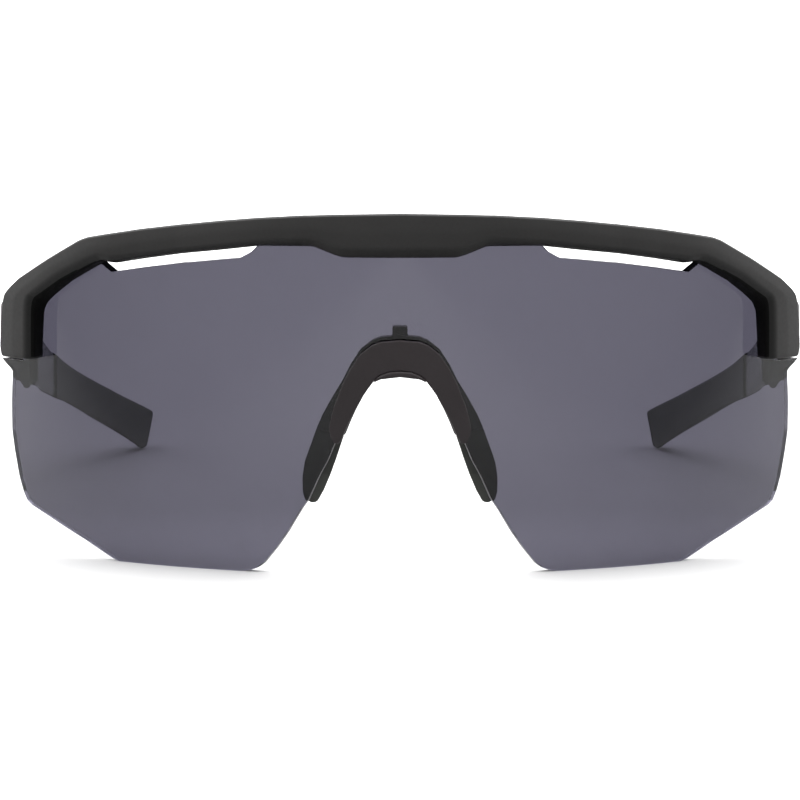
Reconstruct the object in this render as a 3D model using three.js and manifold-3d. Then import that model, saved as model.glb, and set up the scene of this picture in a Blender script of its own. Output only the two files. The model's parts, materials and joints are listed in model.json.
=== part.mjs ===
import * as THREE from "three";
import Module from "manifold-3d";

// Wraparound sport sunglasses, in millimetres.
// The wearer looks along -Y, +Z is up, +X is the wearer's left.
// The glasses stand open on the lower edges of the shield and on the two temple tips.

const wasm = await Module();
wasm.setup();

// ---- driving dimensions -------------------------------------------------------------------

const WRAP_RADIUS = 95;
const BARREL_RADIUS = 220;
const BARREL_HEIGHT = 34;
const LEAN = 0.07;

const LENS_THICK = 2.0;
const FIT_GAP = 0.25;
const PLATE_FRONT = 4.2;
const FRAME_BACK = -4.0;

const HINGE_X = 67.6;
const HINGE_Y = 41.0;
const EAR_RADIUS = 2.1;
const LOWER_EAR = [31.2, 34.2];
const KNUCKLE = [34.6, 39.0];
const UPPER_EAR = [39.4, 42.4];
const SCREW_RADIUS = 0.8;
const SCREW_HEAD_RADIUS = 1.5;
const INSERT_RADIUS = 1.35;
const BUSH_RADIUS = 1.3;
const WASHER_RADIUS = 1.9;
const WASHER_THICK = 0.28;

// Brow line and shield outline: distance along the wrap from the middle, and height.
const BROW_TOP = [
  [0, 64.4], [14, 64.0], [28, 62.9], [40, 61.5], [50.5, 60.0], [57.6, 58.55], [59, 58.05],
  [65.8, 54.35], [73, 50.25], [75.5, 48.6],
];
const BROW_LOW = [
  [0, 56.9], [9.9, 56.9], [11.2, 57.3], [15, 58.9], [17, 59.1], [25, 58.8], [32, 58.0],
  [39.5, 57.0], [46.8, 55.85], [52.6, 54.75], [54.3, 55.1], [62.4, 51.1], [67, 48.4], [74, 44.4],
];
const BROW_SEAT = [
  [0, 56.6], [9.9, 56.6], [11.4, 57.0], [15.3, 58.5], [25, 58.4], [39.5, 56.6], [52.9, 54.3],
  [55.3, 54.4], [61.2, 51.7], [66.6, 48.0], [74, 43.0],
];
// How far the brow stands proud of the shield at each distance along the wrap.
const BROW_PROUD = [[0, 2.05], [40, 2.05], [47, 2.7], [52.6, 3.5], [57, 3.85], [62, 4.2]];
const LENS_TOP = [
  [0, 60.6], [23.2, 60.6], [25.4, 58.5], [26.6, 57.3], [28.6, 56.2], [32.4, 55.8], [40, 54.9],
  [48, 53.7], [53.3, 52.8], [54.2, 52.7], [55.6, 53.5], [57, 54.3], [57.8, 55.1], [62.5, 52.9],
  [68.5, 49.7], [72.5, 46.9], [75.2, 44.2], [75.4, 40], [75.5, 35.8], [80.9, 35.8], [81.4, 35.5],
];
const LENS_LOW = [
  [0, 37.8], [2.6, 37.6], [5, 36.6], [7, 34.6], [8.4, 32.4], [9.6, 29.5], [10.6, 26.5],
  [11.5, 23.7], [12.7, 20.8], [14.3, 17.9], [16.3, 13.6], [17.6, 11.8], [20.3, 7.5], [22.5, 4.5],
  [25.1, 1.5], [26.1, 0.8], [27.4, 0.3], [29.4, 0], [54.6, 0], [56, 0.4], [61.9, 3.2],
  [70.8, 6.8], [75.4, 8.6], [76.7, 9.4], [77.6, 11.4], [78.3, 14.0], [78.9, 18.3], [79.2, 22.0],
  [79.3, 33.7], [80.2, 34.5], [81.4, 35.2],
];
const LENS_END = 81.4;

// Temple side view: [distance back, underside height at the inner face, top height].
const ARM_SIDE = [
  [43.5, 28.2, 41.6], [46, 28.3, 40.9], [55, 27.5, 38.2], [66, 25.3, 35.1], [79, 22.6, 31.6],
  [91.6, 20.0, 28.3],
];
// Temple plan view: [distance back, distance of the inner face from the middle].
const INNER_FACE = [
  [41, 65.7], [46, 66.4], [55, 67.1], [66, 67.5], [80, 67.4], [95, 66.5], [108, 65.2],
  [120, 63.6], [132, 61.5], [145, 58.6], [156, 55.5], [168, 51.8],
];
const ARM_THICK = [[41, 4.4], [55, 3.8], [70, 3.4], [92, 3.2]];
const SLEEVE_THICK = [[92, 3.9], [104, 4.2], [140, 4.2], [168, 3.8]];
// Sleeve: [underside distance back, height, top distance back, height, underside slope's rise].
const SLEEVE_SIDE = [
  [92, 19.7, 92, 28.5, 2], [93.2, 19.3, 93.2, 28.4, 2], [104, 17.2, 104.4, 25.3, 2],
  [116, 14.3, 117, 22.0, 2], [128, 11.2, 130, 18.5, 2], [140, 7.7, 143, 14.7, 2],
  [149.5, 4.5, 154, 11.5, 1.6], [156.5, 1.7, 161.4, 9.4, 0.8], [159.8, 0, 164.4, 8.3, 0],
  [163.4, 0, 166.6, 7.4, 0],
];
const SLEEVE_LOW = SLEEVE_SIDE.map(([y, z]) => [y, z]);
const SLEEVE_HIGH = SLEEVE_SIDE.map(([, , y, z]) => [y, z]);
const ARM_RISE = 2.0;
const ARM_ROUNDING = { low: 1.2, high: 0.9 };
const SLEEVE_ROUNDING = { low: 1.4, high: 1.2 };
const FOOT_ROUNDING = { low: 0.9, high: 1.2 };
const TANG = { from: 88, to: 101, thick: 1.8, under: 2.4, over: 2.0, rounding: { low: 0.5, high: 0.5 } };
const CORE = { from: 86, to: 150, thick: 0.9, height: 2.6, rounding: { low: 0.25, high: 0.25 } };

const NOSE_OUTER = [
  [0, 44.5], [1.35, 44.5], [1.35, 42.8], [3.5, 42.6], [5, 42.0], [7.1, 40.4], [8.8, 37.8],
  [10.2, 35.0], [12.1, 31.9], [13.8, 28.9], [14.9, 26.4],
];
const NOSE_OPENING = [
  [10.0, 25.0], [9.0, 27.4], [8.0, 29.5], [6.4, 32.4], [4.6, 34.8], [3.4, 35.3], [0, 35.7],
];
const NOSE_LIP = [
  [0, 42.3], [3.4, 42.0], [4.9, 41.4], [6.9, 39.8], [8.5, 37.3], [9.8, 34.8], [10.7, 32.3],
  [11.4, 30.5], [11.9, 28.6], [12.3, 26.6], [12.0, 25.1], [11.4, 24.0], [10.6, 24.0],
];
const LIP_OPENING = [
  [10.0, 25.0], [9.0, 27.4], [8.0, 29.5], [6.4, 32.4], [4.9, 34.7], [3.6, 36.1], [1.9, 36.8],
  [0, 37.0],
];
const NOSE_WEB = [
  [0, 37.3], [2.5, 37.1], [4.7, 36.2], [6.7, 34.2], [8.1, 32.1], [9.3, 29.2], [10.3, 26.2],
  [10.6, 25.5],
];
const PAD_TANG = [
  [14.5, 26.3], [15.2, 22.6], [16.2, 18.6], [16.2, 15.6], [15.0, 15.6], [12.0, 20.6], [10.9, 24.2],
];
const PAD_OUTER = [
  [15.05, 26.1], [16.1, 23.3], [17.2, 20.4], [17.7, 17.5], [17.7, 14.8], [17.3, 13.3], [16.4, 12.6],
];
const PAD_INNER = [
  [15.2, 12.8], [13.9, 15.0], [12.6, 17.9], [11.5, 20.8], [10.5, 23.7], [10.15, 24.7],
];

// ---- materials ----------------------------------------------------------------------------

function finish(color, roughness, metalness, opacity = 1) {
  const clear = opacity < 1;
  return { color, roughness, metalness, opacity, transparent: clear };
}

const FINISHES = {
  frame: finish(0x2b2a2b, 0.62, 0),
  lens: finish(0x35343c, 0.04, 0, 0.85),
  nose: finish(0x1e1b1c, 0.55, 0),
  pad: finish(0x262626, 0.8, 0),
  temple: finish(0x242324, 0.5, 0),
  sleeve: finish(0x18181b, 0.85, 0),
  steel: finish(0xb9bcc0, 0.3, 1),
  brass: finish(0xb99a52, 0.35, 1),
  washer: finish(0xd9d7cf, 0.5, 0),
};

// ---- shape helpers ------------------------------------------------------------------------

function along(table, s) {
  const last = table.length - 1;
  if (s <= table[0][0]) return table[0][1];
  if (s >= table[last][0]) return table[last][1];
  const i = table.findIndex((row) => row[0] >= s);
  const [a, low] = table[i - 1];
  const [b, high] = table[i];
  return low + ((high - low) * (s - a)) / (b - a);
}

function wrap(s, z, t) {
  const angle = s / WRAP_RADIUS;
  const bulge = (z - BARREL_HEIGHT) ** 2 / (2 * BARREL_RADIUS);
  const r = WRAP_RADIUS - bulge + t;
  return [r * Math.sin(angle), WRAP_RADIUS - r * Math.cos(angle) - LEAN * z, z];
}

function solidFrom(triangles) {
  const geometry = new THREE.BufferGeometry();
  geometry.setAttribute("position", new THREE.Float32BufferAttribute(triangles.flat(2), 3));
  return outward(geometry);
}

function outward(geometry) {
  const p = geometry.attributes.position;
  const [a, b, c] = [new THREE.Vector3(), new THREE.Vector3(), new THREE.Vector3()];
  let volume = 0;
  for (let i = 0; i < p.count; i += 3) {
    a.fromBufferAttribute(p, i);
    b.fromBufferAttribute(p, i + 1);
    c.fromBufferAttribute(p, i + 2);
    volume += a.dot(b.cross(c));
  }
  if (volume > 0) return geometry;
  for (let i = 0; i < p.count; i += 3) {
    b.fromBufferAttribute(p, i + 1);
    c.fromBufferAttribute(p, i + 2);
    p.setXYZ(i + 1, c.x, c.y, c.z);
    p.setXYZ(i + 2, b.x, b.y, b.z);
  }
  return geometry;
}

// Triangles over a flat outline, wound the same way as the outline itself.
function fan(flat, at) {
  const contour = flat.map(([x, y]) => new THREE.Vector2(x, y));
  const faces = THREE.ShapeUtils.triangulateShape(contour, []);
  const clockwise = THREE.ShapeUtils.isClockWise(contour);
  const [a, b, c] = faces[0].map((i) => contour[i]);
  const turnsRight = b.clone().sub(a).cross(c.clone().sub(a)) < 0;
  const wound = clockwise === turnsRight ? faces : faces.map((face) => [...face].reverse());
  return wound.map((face) => face.map((i) => at[i]));
}

// A closed solid through rings of equal length; flatten gives each ring's 2-D outline.
function loft(rings, flatten) {
  const triangles = [];
  for (let i = 0; i + 1 < rings.length; i += 1) {
    rings[i].forEach((a, j) => {
      const k = (j + 1) % rings[i].length;
      const [b, c, d] = [rings[i][k], rings[i + 1][k], rings[i + 1][j]];
      triangles.push([a, b, c], [a, c, d]);
    });
  }
  const first = rings[0];
  const last = rings[rings.length - 1];
  triangles.push(...fan(flatten(first), first).map((f) => [...f].reverse()));
  triangles.push(...fan(flatten(last), last));
  return solidFrom(triangles);
}

// Columns across the face, each with the same number of [offset, height] points.
function faceLoft(columns, section) {
  const rows = columns.map((s) => ({ s, points: section(s) }));
  const rings = rows.map(({ s, points }) => points.map(([t, z]) => wrap(s, z, t)));
  const triangles = [];
  for (let i = 0; i + 1 < rings.length; i += 1) {
    rings[i].forEach((a, j) => {
      const k = (j + 1) % rings[i].length;
      triangles.push([a, rings[i][k], rings[i + 1][k]], [a, rings[i + 1][k], rings[i + 1][j]]);
    });
  }
  const ends = [rows[0], rows[rows.length - 1]];
  const caps = ends.map(({ s, points }) => fan(points, points.map(([t, z]) => wrap(s, z, t))));
  triangles.push(...caps[0].map((f) => [...f].reverse()), ...caps[1]);
  return solidFrom(triangles);
}

// Layers of one outline at several offsets, bent onto the face; long edges are split to follow it.
function faceStack(layers) {
  const rings = layers.map(({ t, outline }) => outline.map(([s, z]) => [s, z, t]));
  let triangles = [];
  for (let i = 0; i + 1 < rings.length; i += 1) {
    rings[i].forEach((a, j) => {
      const k = (j + 1) % rings[i].length;
      triangles.push([a, rings[i][k], rings[i + 1][k]], [a, rings[i + 1][k], rings[i + 1][j]]);
    });
  }
  triangles.push(...fan(layers[0].outline, rings[0]).map((f) => [...f].reverse()));
  triangles.push(...fan(layers[layers.length - 1].outline, rings[rings.length - 1]));
  for (let round = 0; round < 5; round += 1) triangles = triangles.flatMap(splitLong);
  return solidFrom(triangles.map((face) => face.map(([s, z, t]) => wrap(s, z, t))));
}

function splitLong([a, b, c]) {
  const long = (p, q) => Math.abs(p[0] - q[0]) > 6;
  const mid = (p, q) => p.map((value, i) => (value + q[i]) / 2);
  if (long(a, b)) return splitAt(a, b, c, mid(a, b), long, mid);
  if (long(b, c)) return splitAt(b, c, a, mid(b, c), long, mid);
  if (long(c, a)) return [[c, mid(c, a), b], [mid(c, a), a, b]];
  return [[a, b, c]];
}

function splitAt(a, b, c, m, long, mid) {
  if (long(b, c) && long(c, a)) {
    const [n, o] = [mid(b, c), mid(c, a)];
    return [[a, m, o], [m, b, n], [o, n, c], [m, n, o]];
  }
  if (long(b, c)) return [[m, b, mid(b, c)], [a, m, mid(b, c)], [a, mid(b, c), c]];
  if (long(c, a)) return [[a, m, mid(c, a)], [m, b, c], [m, c, mid(c, a)]];
  return [[a, m, c], [m, b, c]];
}

function extruded(outline, depth) {
  const shape = new THREE.Shape(outline.map(([x, y]) => new THREE.Vector2(x, y)));
  return new THREE.ExtrudeGeometry(shape, { depth, bevelEnabled: false, curveSegments: 12 });
}

function upright(outline, low, high) {
  return extruded(outline, high - low).translate(0, 0, low);
}

// A side-view outline of [distance back, height], carried from x = low to x = high.
function sideways(outline, low, high) {
  const flat = outline.map(([y, z]) => [y, z]);
  const geometry = extruded(flat, high - low);
  const turn = new THREE.Matrix4().set(0, 0, 1, 0, 1, 0, 0, 0, 0, 1, 0, 0, 0, 0, 0, 1);
  return geometry.applyMatrix4(turn).translate(low, 0, 0);
}

function post(radius, low, high, x = HINGE_X, y = HINGE_Y, sides = 28) {
  const geometry = new THREE.CylinderGeometry(radius, radius, high - low, sides);
  return geometry.rotateX(Math.PI / 2).translate(x, y, (low + high) / 2);
}

function turned(profile, sides = 28) {
  const points = profile.map(([r, z]) => new THREE.Vector2(r, z));
  return new THREE.LatheGeometry(points, sides).rotateX(Math.PI / 2);
}

function ring(inner, outer, low, high) {
  const profile = [[inner, low], [outer, low], [outer, high], [inner, high], [inner, low]];
  return turned(profile).translate(HINGE_X, HINGE_Y, 0);
}

function slab(x0, x1, y0, y1, z0, z1) {
  const geometry = new THREE.BoxGeometry(x1 - x0, y1 - y0, z1 - z0);
  return geometry.translate((x0 + x1) / 2, (y0 + y1) / 2, (z0 + z1) / 2);
}

function toManifold(geometry) {
  const flat = geometry.index ? geometry.toNonIndexed() : geometry;
  const p = flat.attributes.position;
  const seen = new Map();
  const vertices = [];
  const faces = [];
  for (let i = 0; i < p.count; i += 1) {
    const point = [p.getX(i), p.getY(i), p.getZ(i)];
    const key = point.map((v) => Math.round(v * 1e4)).join(" ");
    if (!seen.has(key)) {
      seen.set(key, vertices.length / 3);
      vertices.push(...point);
    }
    faces.push(seen.get(key));
  }
  const kept = [];
  for (let i = 0; i < faces.length; i += 3) {
    const [a, b, c] = faces.slice(i, i + 3);
    if (a !== b && b !== c && c !== a) kept.push(a, b, c);
  }
  const vertProperties = new Float32Array(vertices);
  const triVerts = new Uint32Array(kept);
  return new wasm.Manifold(new wasm.Mesh({ numProp: 3, vertProperties, triVerts }));
}

function fromManifold(solid) {
  const { vertProperties, triVerts } = solid.getMesh();
  const geometry = new THREE.BufferGeometry();
  geometry.setAttribute("position", new THREE.BufferAttribute(vertProperties, 3));
  geometry.setIndex(new THREE.BufferAttribute(triVerts, 1));
  return geometry.toNonIndexed();
}

function join(...parts) {
  return fromManifold(parts.map(toManifold).reduce((a, b) => a.add(b)));
}

function cut(body, ...tools) {
  return fromManifold([body, ...tools].map(toManifold).reduce((a, b) => a.subtract(b)));
}

function common(a, b) {
  return fromManifold(toManifold(a).intersect(toManifold(b)));
}

function mirrored(geometry) {
  return outward(geometry.clone().applyMatrix4(new THREE.Matrix4().makeScale(-1, 1, 1)));
}

function bothSides(outline) {
  const left = outline.filter(([s]) => s > 0).map(([s, z]) => [-s, z]);
  return [...outline, ...left.reverse()];
}

// A clockwise outline moved outward by a distance, with its corners kept sharp.
function grow(outline, distance) {
  const normal = ([ax, ay], [bx, by]) => {
    const length = Math.hypot(bx - ax, by - ay);
    return [-(by - ay) / length, (bx - ax) / length];
  };
  return outline.map((point, i) => {
    const before = normal(outline[(i + outline.length - 1) % outline.length], point);
    const after = normal(point, outline[(i + 1) % outline.length]);
    const scale = distance / (1 + before[0] * after[0] + before[1] * after[1]);
    return point.map((value, axis) => value + (before[axis] + after[axis]) * scale);
  });
}

function columnsOf(tables, end, step) {
  const marks = tables.flat().map(([s]) => s);
  for (let s = 0; s < end; s += step) marks.push(s);
  const near = marks.filter((s) => s < end - 0.05).concat(end);
  const sorted = [...new Set(near.map((s) => Math.round(s * 10) / 10))].sort((a, b) => a - b);
  const half = sorted.filter((s, i) => i === 0 || s - sorted[i - 1] > 0.09);
  return [...half.slice(1).reverse().map((s) => -s), ...half];
}

// ---- shield lens --------------------------------------------------------------------------

function lensSheet(grow, front, back) {
  const rows = 6;
  const section = (s) => {
    const low = along(LENS_LOW, Math.abs(s)) - grow;
    const high = along(LENS_TOP, Math.abs(s)) + grow;
    const heights = Array.from({ length: rows + 1 }, (_, i) => low + ((high - low) * i) / rows);
    return [...heights.map((z) => [front, z]), ...heights.reverse().map((z) => [back, z])];
  };
  const columns = columnsOf([LENS_TOP, LENS_LOW], LENS_END, 5);
  if (grow > 0) {
    columns[0] -= grow;
    columns[columns.length - 1] += grow;
  }
  return faceLoft(columns, section);
}

// ---- brow frame ---------------------------------------------------------------------------

function browBar() {
  const section = (side) => {
    const s = Math.abs(side);
    const top = along(BROW_TOP, s);
    const low = along(BROW_LOW, s);
    const seat = along(BROW_SEAT, s);
    const front = along(BROW_PROUD, s);
    const cleared = (front - BROW_PROUD[0][1]) * 0.65;
    return [
      [front - 0.8, low], [front, low + 0.8], [front + 0.1, (low + top) / 2],
      [front - 0.3, top - 0.8], [front - 1.1, top], [-3.2, top - 1.0], [FRAME_BACK, top - 1.8],
      [FRAME_BACK, seat + 1.2 + cleared], [-3.4, seat + 0.6 + cleared], [0.2, seat],
    ];
  };
  return faceLoft(columnsOf([BROW_TOP, BROW_LOW, BROW_SEAT, BROW_PROUD], 74, 5), section);
}

// The upright plate at each end of the brow, with the wall that stands beside the lens.
function endPlate() {
  const outer = [
    [76.6, 36.15], [77.6, 37.2], [77.4, 42.0], [77.1, 46.0], [76.5, 47.5], [75.5, 48.6],
    [73.0, 50.2], [68.0, 52.9],
  ];
  const eased = outer.map(([s, z]) => [74.5 + (s - 74.5) * 0.88, 43 + (z - 43) * 0.95]);
  const wall = [[66.8, 48.3], [68.8, 46.9], [69.5, 44.8], [69.6, 36.15]];
  const lip = [[67.6, 48.8], [69.9, 47.4], [70.5, 45.2], [70.4, 36.6]];
  const backWall = [[68.7, 48.7], [71.6, 47.2], [72.8, 45.0], [73.0, 36.15]];
  const backLip = [[69.6, 49.0], [72.3, 47.6], [73.5, 45.3], [73.8, 36.6]];
  return faceStack([
    { t: FRAME_BACK, outline: [...eased, ...backLip] },
    { t: -3.2, outline: [...outer, ...backWall] },
    { t: 0.2, outline: [...outer, ...wall] },
    { t: PLATE_FRONT - 1.1, outline: [...outer, ...wall] },
    { t: PLATE_FRONT, outline: [...eased, ...lip] },
  ]);
}

function hingeBlock() {
  const plan = [
    [64.4, 27.4], [69.0, 26.6], [70.0, 31.5], [69.9, 38.3], [65.5, 38.3], [65.3, 34.0], [64.8, 30.0],
  ];
  const side = [[20, 31.2], [38.4, 31.2], [38.4, 42.4], [35.5, 44.2], [28, 47.2], [20, 48.5]];
  const block = common(upright(plan, 30, 50), sideways(side, 60, 75));
  const necks = [LOWER_EAR, UPPER_EAR].map(([low, high]) => {
    const neck = slab(HINGE_X - EAR_RADIUS, HINGE_X + EAR_RADIUS, 37.6, HINGE_Y, low, high);
    return join(neck, post(EAR_RADIUS, low, high));
  });
  return cut(join(block, ...necks), slab(62, 75, 36.9, 44, LOWER_EAR[1], UPPER_EAR[0]));
}

function cheek() {
  const plan = [
    [67.6, 27.5], [70.1, 26.5], [71.0, 27.5], [72.0, 31.0], [72.5, 36.0], [72.1, 40.7],
    [69.95, 40.7], [69.7, 33.0],
  ];
  const side = [[20, 36.0], [40.8, 36.0], [40.8, 42.8], [36, 44.1], [30, 45.7], [27, 46.4], [20, 47.4]];
  return common(upright(plan, 30, 50), sideways(side, 60, 75));
}

function browFrame() {
  const lensFront = lensSheet(FIT_GAP, 8, -LENS_THICK - FIT_GAP);
  const lug = cut(join(hingeBlock(), cheek()), lensFront);
  const end = join(lug, endPlate());
  const whole = join(browBar(), end, mirrored(end));
  const seat = lensSheet(FIT_GAP, FIT_GAP, -LENS_THICK - FIT_GAP);
  const bores = [1, -1].flatMap((side) => [
    post(INSERT_RADIUS + 0.08, 30, LOWER_EAR[1] + 0.1, side * HINGE_X),
    post(SCREW_RADIUS + 0.1, UPPER_EAR[0] - 0.1, 44, side * HINGE_X),
  ]);
  return cut(whole, seat, ...bores);
}

// ---- nose bridge and pads -----------------------------------------------------------------

function noseBridge() {
  const back = bothSides([...NOSE_OUTER, ...NOSE_OPENING]);
  const webOpening = NOSE_OPENING.map(([s, z]) => [s > 0 ? s + 0.08 : 0, z + 0.15]);
  const web = bothSides([...NOSE_WEB, ...webOpening]);
  const lip = bothSides([...NOSE_LIP, ...LIP_OPENING]);
  const softLip = bothSides([...NOSE_LIP, ...LIP_OPENING].map(([s, z]) => [s, z - 0.15]));
  const arch = join(
    faceStack([{ t: -4.6, outline: back }, { t: -LENS_THICK - 0.3, outline: back }]),
    faceStack([{ t: -2.6, outline: web }, { t: 0.6, outline: web }]),
    faceStack([{ t: 0.3, outline: lip }, { t: 0.9, outline: lip }, { t: 1.3, outline: softLip }]),
  );
  const tang = faceStack([{ t: -4.4, outline: PAD_TANG }, { t: -3.2, outline: PAD_TANG }]);
  return join(arch, tang, mirrored(tang));
}

// The pad's outline with its nose-side edge drawn outward by a share of the pad's width.
function padLayer(t, share, shrink) {
  const edge = PAD_OUTER.map(([s, z]) => [z, s]).reverse();
  const inner = PAD_INNER.map(([s, z]) => [s + share * (along(edge, z) - s), z]);
  const centre = [15.6, 19.5];
  const scaled = [...PAD_OUTER, ...inner].map(([s, z]) => [
    s + (centre[0] - s) * shrink, z + (centre[1] - z) * shrink,
  ]);
  return { t, outline: scaled };
}

function nosePad() {
  const front = -LENS_THICK - 0.4;
  const body = faceStack([padLayer(-8.0, 0.42, 0.1), padLayer(-7.2, 0.32, 0), padLayer(front, 0, 0)]);
  const grown = grow(PAD_TANG, 0.15);
  return cut(body, faceStack([{ t: -4.55, outline: grown }, { t: -3.05, outline: grown }]));
}

// ---- temples ------------------------------------------------------------------------------

// One ring of a temple: an oblong with cut corners, leaning when its top is further back.
// Its underside climbs by the given rise from the inner face to the outer one.
function templeRing(low, high, inner, outer, rounding, rise = 0) {
  const at = (x, f) => [x, low[0] + (high[0] - low[0]) * f, low[1] + (high[1] - low[1]) * f];
  const tall = high[1] - low[1];
  const widest = (outer - inner) * 0.42;
  const under = Math.min(rounding.low, widest);
  const over = Math.min(rounding.high, widest);
  const slope = (rise * under) / (outer - inner);
  return [
    at(outer, (rise + under) / tall), at(outer, 1 - over / tall), at(outer - over, 1),
    at(inner + over, 1), at(inner, 1 - over / tall), at(inner, under / tall),
    at(inner + under, slope / tall), at(outer - under, (rise - slope) / tall),
  ];
}

const sideOf = (points) => points.map(([x, , z]) => [x, z]);

function armBody() {
  const rings = ARM_SIDE.map(([y, low, high]) => {
    const inner = along(INNER_FACE, y);
    const outer = inner + along(ARM_THICK, y);
    return templeRing([y, low], [y, high], inner, outer, ARM_ROUNDING, ARM_RISE);
  });
  return loft(rings, sideOf);
}

function tangBody(grow) {
  const ends = [TANG.from, (TANG.from + TANG.to) / 2, TANG.to + grow];
  const rings = ends.map((y) => {
    const middle = along(INNER_FACE, y) + 1.75;
    const half = TANG.thick / 2 + grow;
    const low = along(SLEEVE_LOW, y) + TANG.under - grow;
    const high = along(SLEEVE_HIGH, y) - TANG.over + grow;
    return templeRing([y, low], [y, high], middle - half, middle + half, TANG.rounding);
  });
  return loft(rings, sideOf);
}

function coreBody(grow) {
  const count = 10;
  const rings = Array.from({ length: count + 1 }, (_, i) => {
    const start = CORE.from - grow;
    const y = start + ((CORE.to + grow - start) * i) / count;
    const middle = along(INNER_FACE, y) + 1.75;
    const climb = Math.max(0, SLEEVE_SIDE[0][0] - y) * 0.24;
    const height = (along(SLEEVE_LOW, y) + along(SLEEVE_HIGH, y)) / 2 + climb;
    const [half, tall] = [CORE.thick / 2 + grow, CORE.height / 2 + grow];
    const [low, high] = [[y, height - tall], [y, height + tall]];
    return templeRing(low, high, middle - half, middle + half, CORE.rounding);
  });
  return loft(rings, sideOf);
}

// The outer cover at the front of a temple, which closes against the cheek.
function templeFront() {
  const rings = [[41.0, 72.1], [43.8, 71.9], [47, 71.2]].map(([y, outer]) => {
    const top = 42.4 - (y - 41) * 0.22;
    return [
      [outer, y, 36.0], [outer, y, top - 0.7], [outer - 0.5, y, top], [70.3, y, top],
      [69.95, y, top - 0.4], [69.95, y, 31.4], [70.2, y, 31.2], [70.5, y, 31.4],
    ];
  });
  return loft(rings, sideOf);
}

function knuckle() {
  const [low, high] = KNUCKLE;
  const neck = slab(HINGE_X - 1.9, HINGE_X + EAR_RADIUS, HINGE_Y, 45, low, high);
  return join(post(EAR_RADIUS, low, high), neck);
}

function templeArm() {
  const solid = join(armBody(), templeFront(), knuckle(), tangBody(0));
  return cut(solid, post(BUSH_RADIUS + 0.08, 30, 44), coreBody(0.12));
}

function templeTip() {
  const rings = SLEEVE_SIDE.map(([y0, z0, y1, z1, rise], i) => {
    const y = (y0 + y1) / 2;
    const inner = along(INNER_FACE, y);
    const shrink = i === 0 || i === SLEEVE_SIDE.length - 1 ? 0.4 : 0;
    const thick = along(SLEEVE_THICK, y);
    const face = inner - 0.35;
    const rounding = z0 > 0 ? SLEEVE_ROUNDING : FOOT_ROUNDING;
    return templeRing([y0, z0], [y1, z1], face + shrink, face + thick - shrink, rounding, rise);
  });
  return cut(loft(rings, sideOf), tangBody(0.12), coreBody(0.12));
}

// ---- hinge hardware -----------------------------------------------------------------------

function hingeScrew() {
  const top = UPPER_EAR[1] + 0.05;
  const profile = [
    [0, 31.6], [SCREW_RADIUS - 0.15, 31.6], [SCREW_RADIUS, 31.9], [SCREW_RADIUS, top],
    [SCREW_HEAD_RADIUS, top], [SCREW_HEAD_RADIUS, top + 0.5], [SCREW_HEAD_RADIUS - 0.35, top + 0.9],
    [0, top + 0.95],
  ];
  const screw = turned(profile).translate(HINGE_X, HINGE_Y, 0);
  const slot = slab(HINGE_X - 2, HINGE_X + 2, HINGE_Y - 0.18, HINGE_Y + 0.18, top + 0.5, top + 2);
  return cut(screw, slot);
}

// A sleeve round the screw, a little shorter than the lug that holds it.
function hingeSleeve(radius, [low, high]) {
  return ring(SCREW_RADIUS + 0.07, radius, low + 0.1, high - 0.1);
}

function hingeWasher(low) {
  return ring(SCREW_RADIUS + 0.07, WASHER_RADIUS, low, low + WASHER_THICK);
}

// ---- assembly -----------------------------------------------------------------------------

const pieces = [];

function single(name, geometry, look) {
  pieces.push({ name, geometry, look });
}

function pair(name, geometry, look) {
  single(`${name}_left`, geometry, look);
  single(`${name}_right`, mirrored(plain(geometry)), look);
}

function plain(geometry) {
  return geometry.index ? geometry.toNonIndexed() : geometry;
}

single("brow_frame", browFrame(), "frame");
single("shield_lens", lensSheet(0, 0, -LENS_THICK), "lens");
single("nose_bridge", noseBridge(), "nose");
pair("nose_pad", nosePad(), "pad");
pair("temple_arm", templeArm(), "temple");
pair("temple_tip", templeTip(), "sleeve");
pair("temple_core", coreBody(0), "steel");
pair("hinge_screw", hingeScrew(), "steel");
pair("hinge_insert", hingeSleeve(INSERT_RADIUS, LOWER_EAR), "brass");
pair("hinge_bush", hingeSleeve(BUSH_RADIUS, KNUCKLE), "brass");
pair("hinge_washer_lower", hingeWasher(LOWER_EAR[1] + 0.06), "washer");
pair("hinge_washer_upper", hingeWasher(KNUCKLE[1] + 0.06), "washer");

// The origin sits at the middle of the footprint, on the surface the glasses stand on.
const extent = new THREE.Box3();
for (const { geometry } of pieces) {
  geometry.computeBoundingBox();
  extent.union(geometry.boundingBox);
}
const middle = extent.getCenter(new THREE.Vector3());

const group = new THREE.Group();
group.name = "sport_sunglasses";
for (const { name, geometry, look } of pieces) {
  geometry.translate(0, -middle.y, -extent.min.z);
  const mesh = new THREE.Mesh(geometry, new THREE.MeshStandardMaterial(FINISHES[look]));
  mesh.name = name;
  group.add(mesh);
}

export default group;
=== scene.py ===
import json
import math

import bmesh
import bpy
from mathutils import Matrix, Vector


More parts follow.
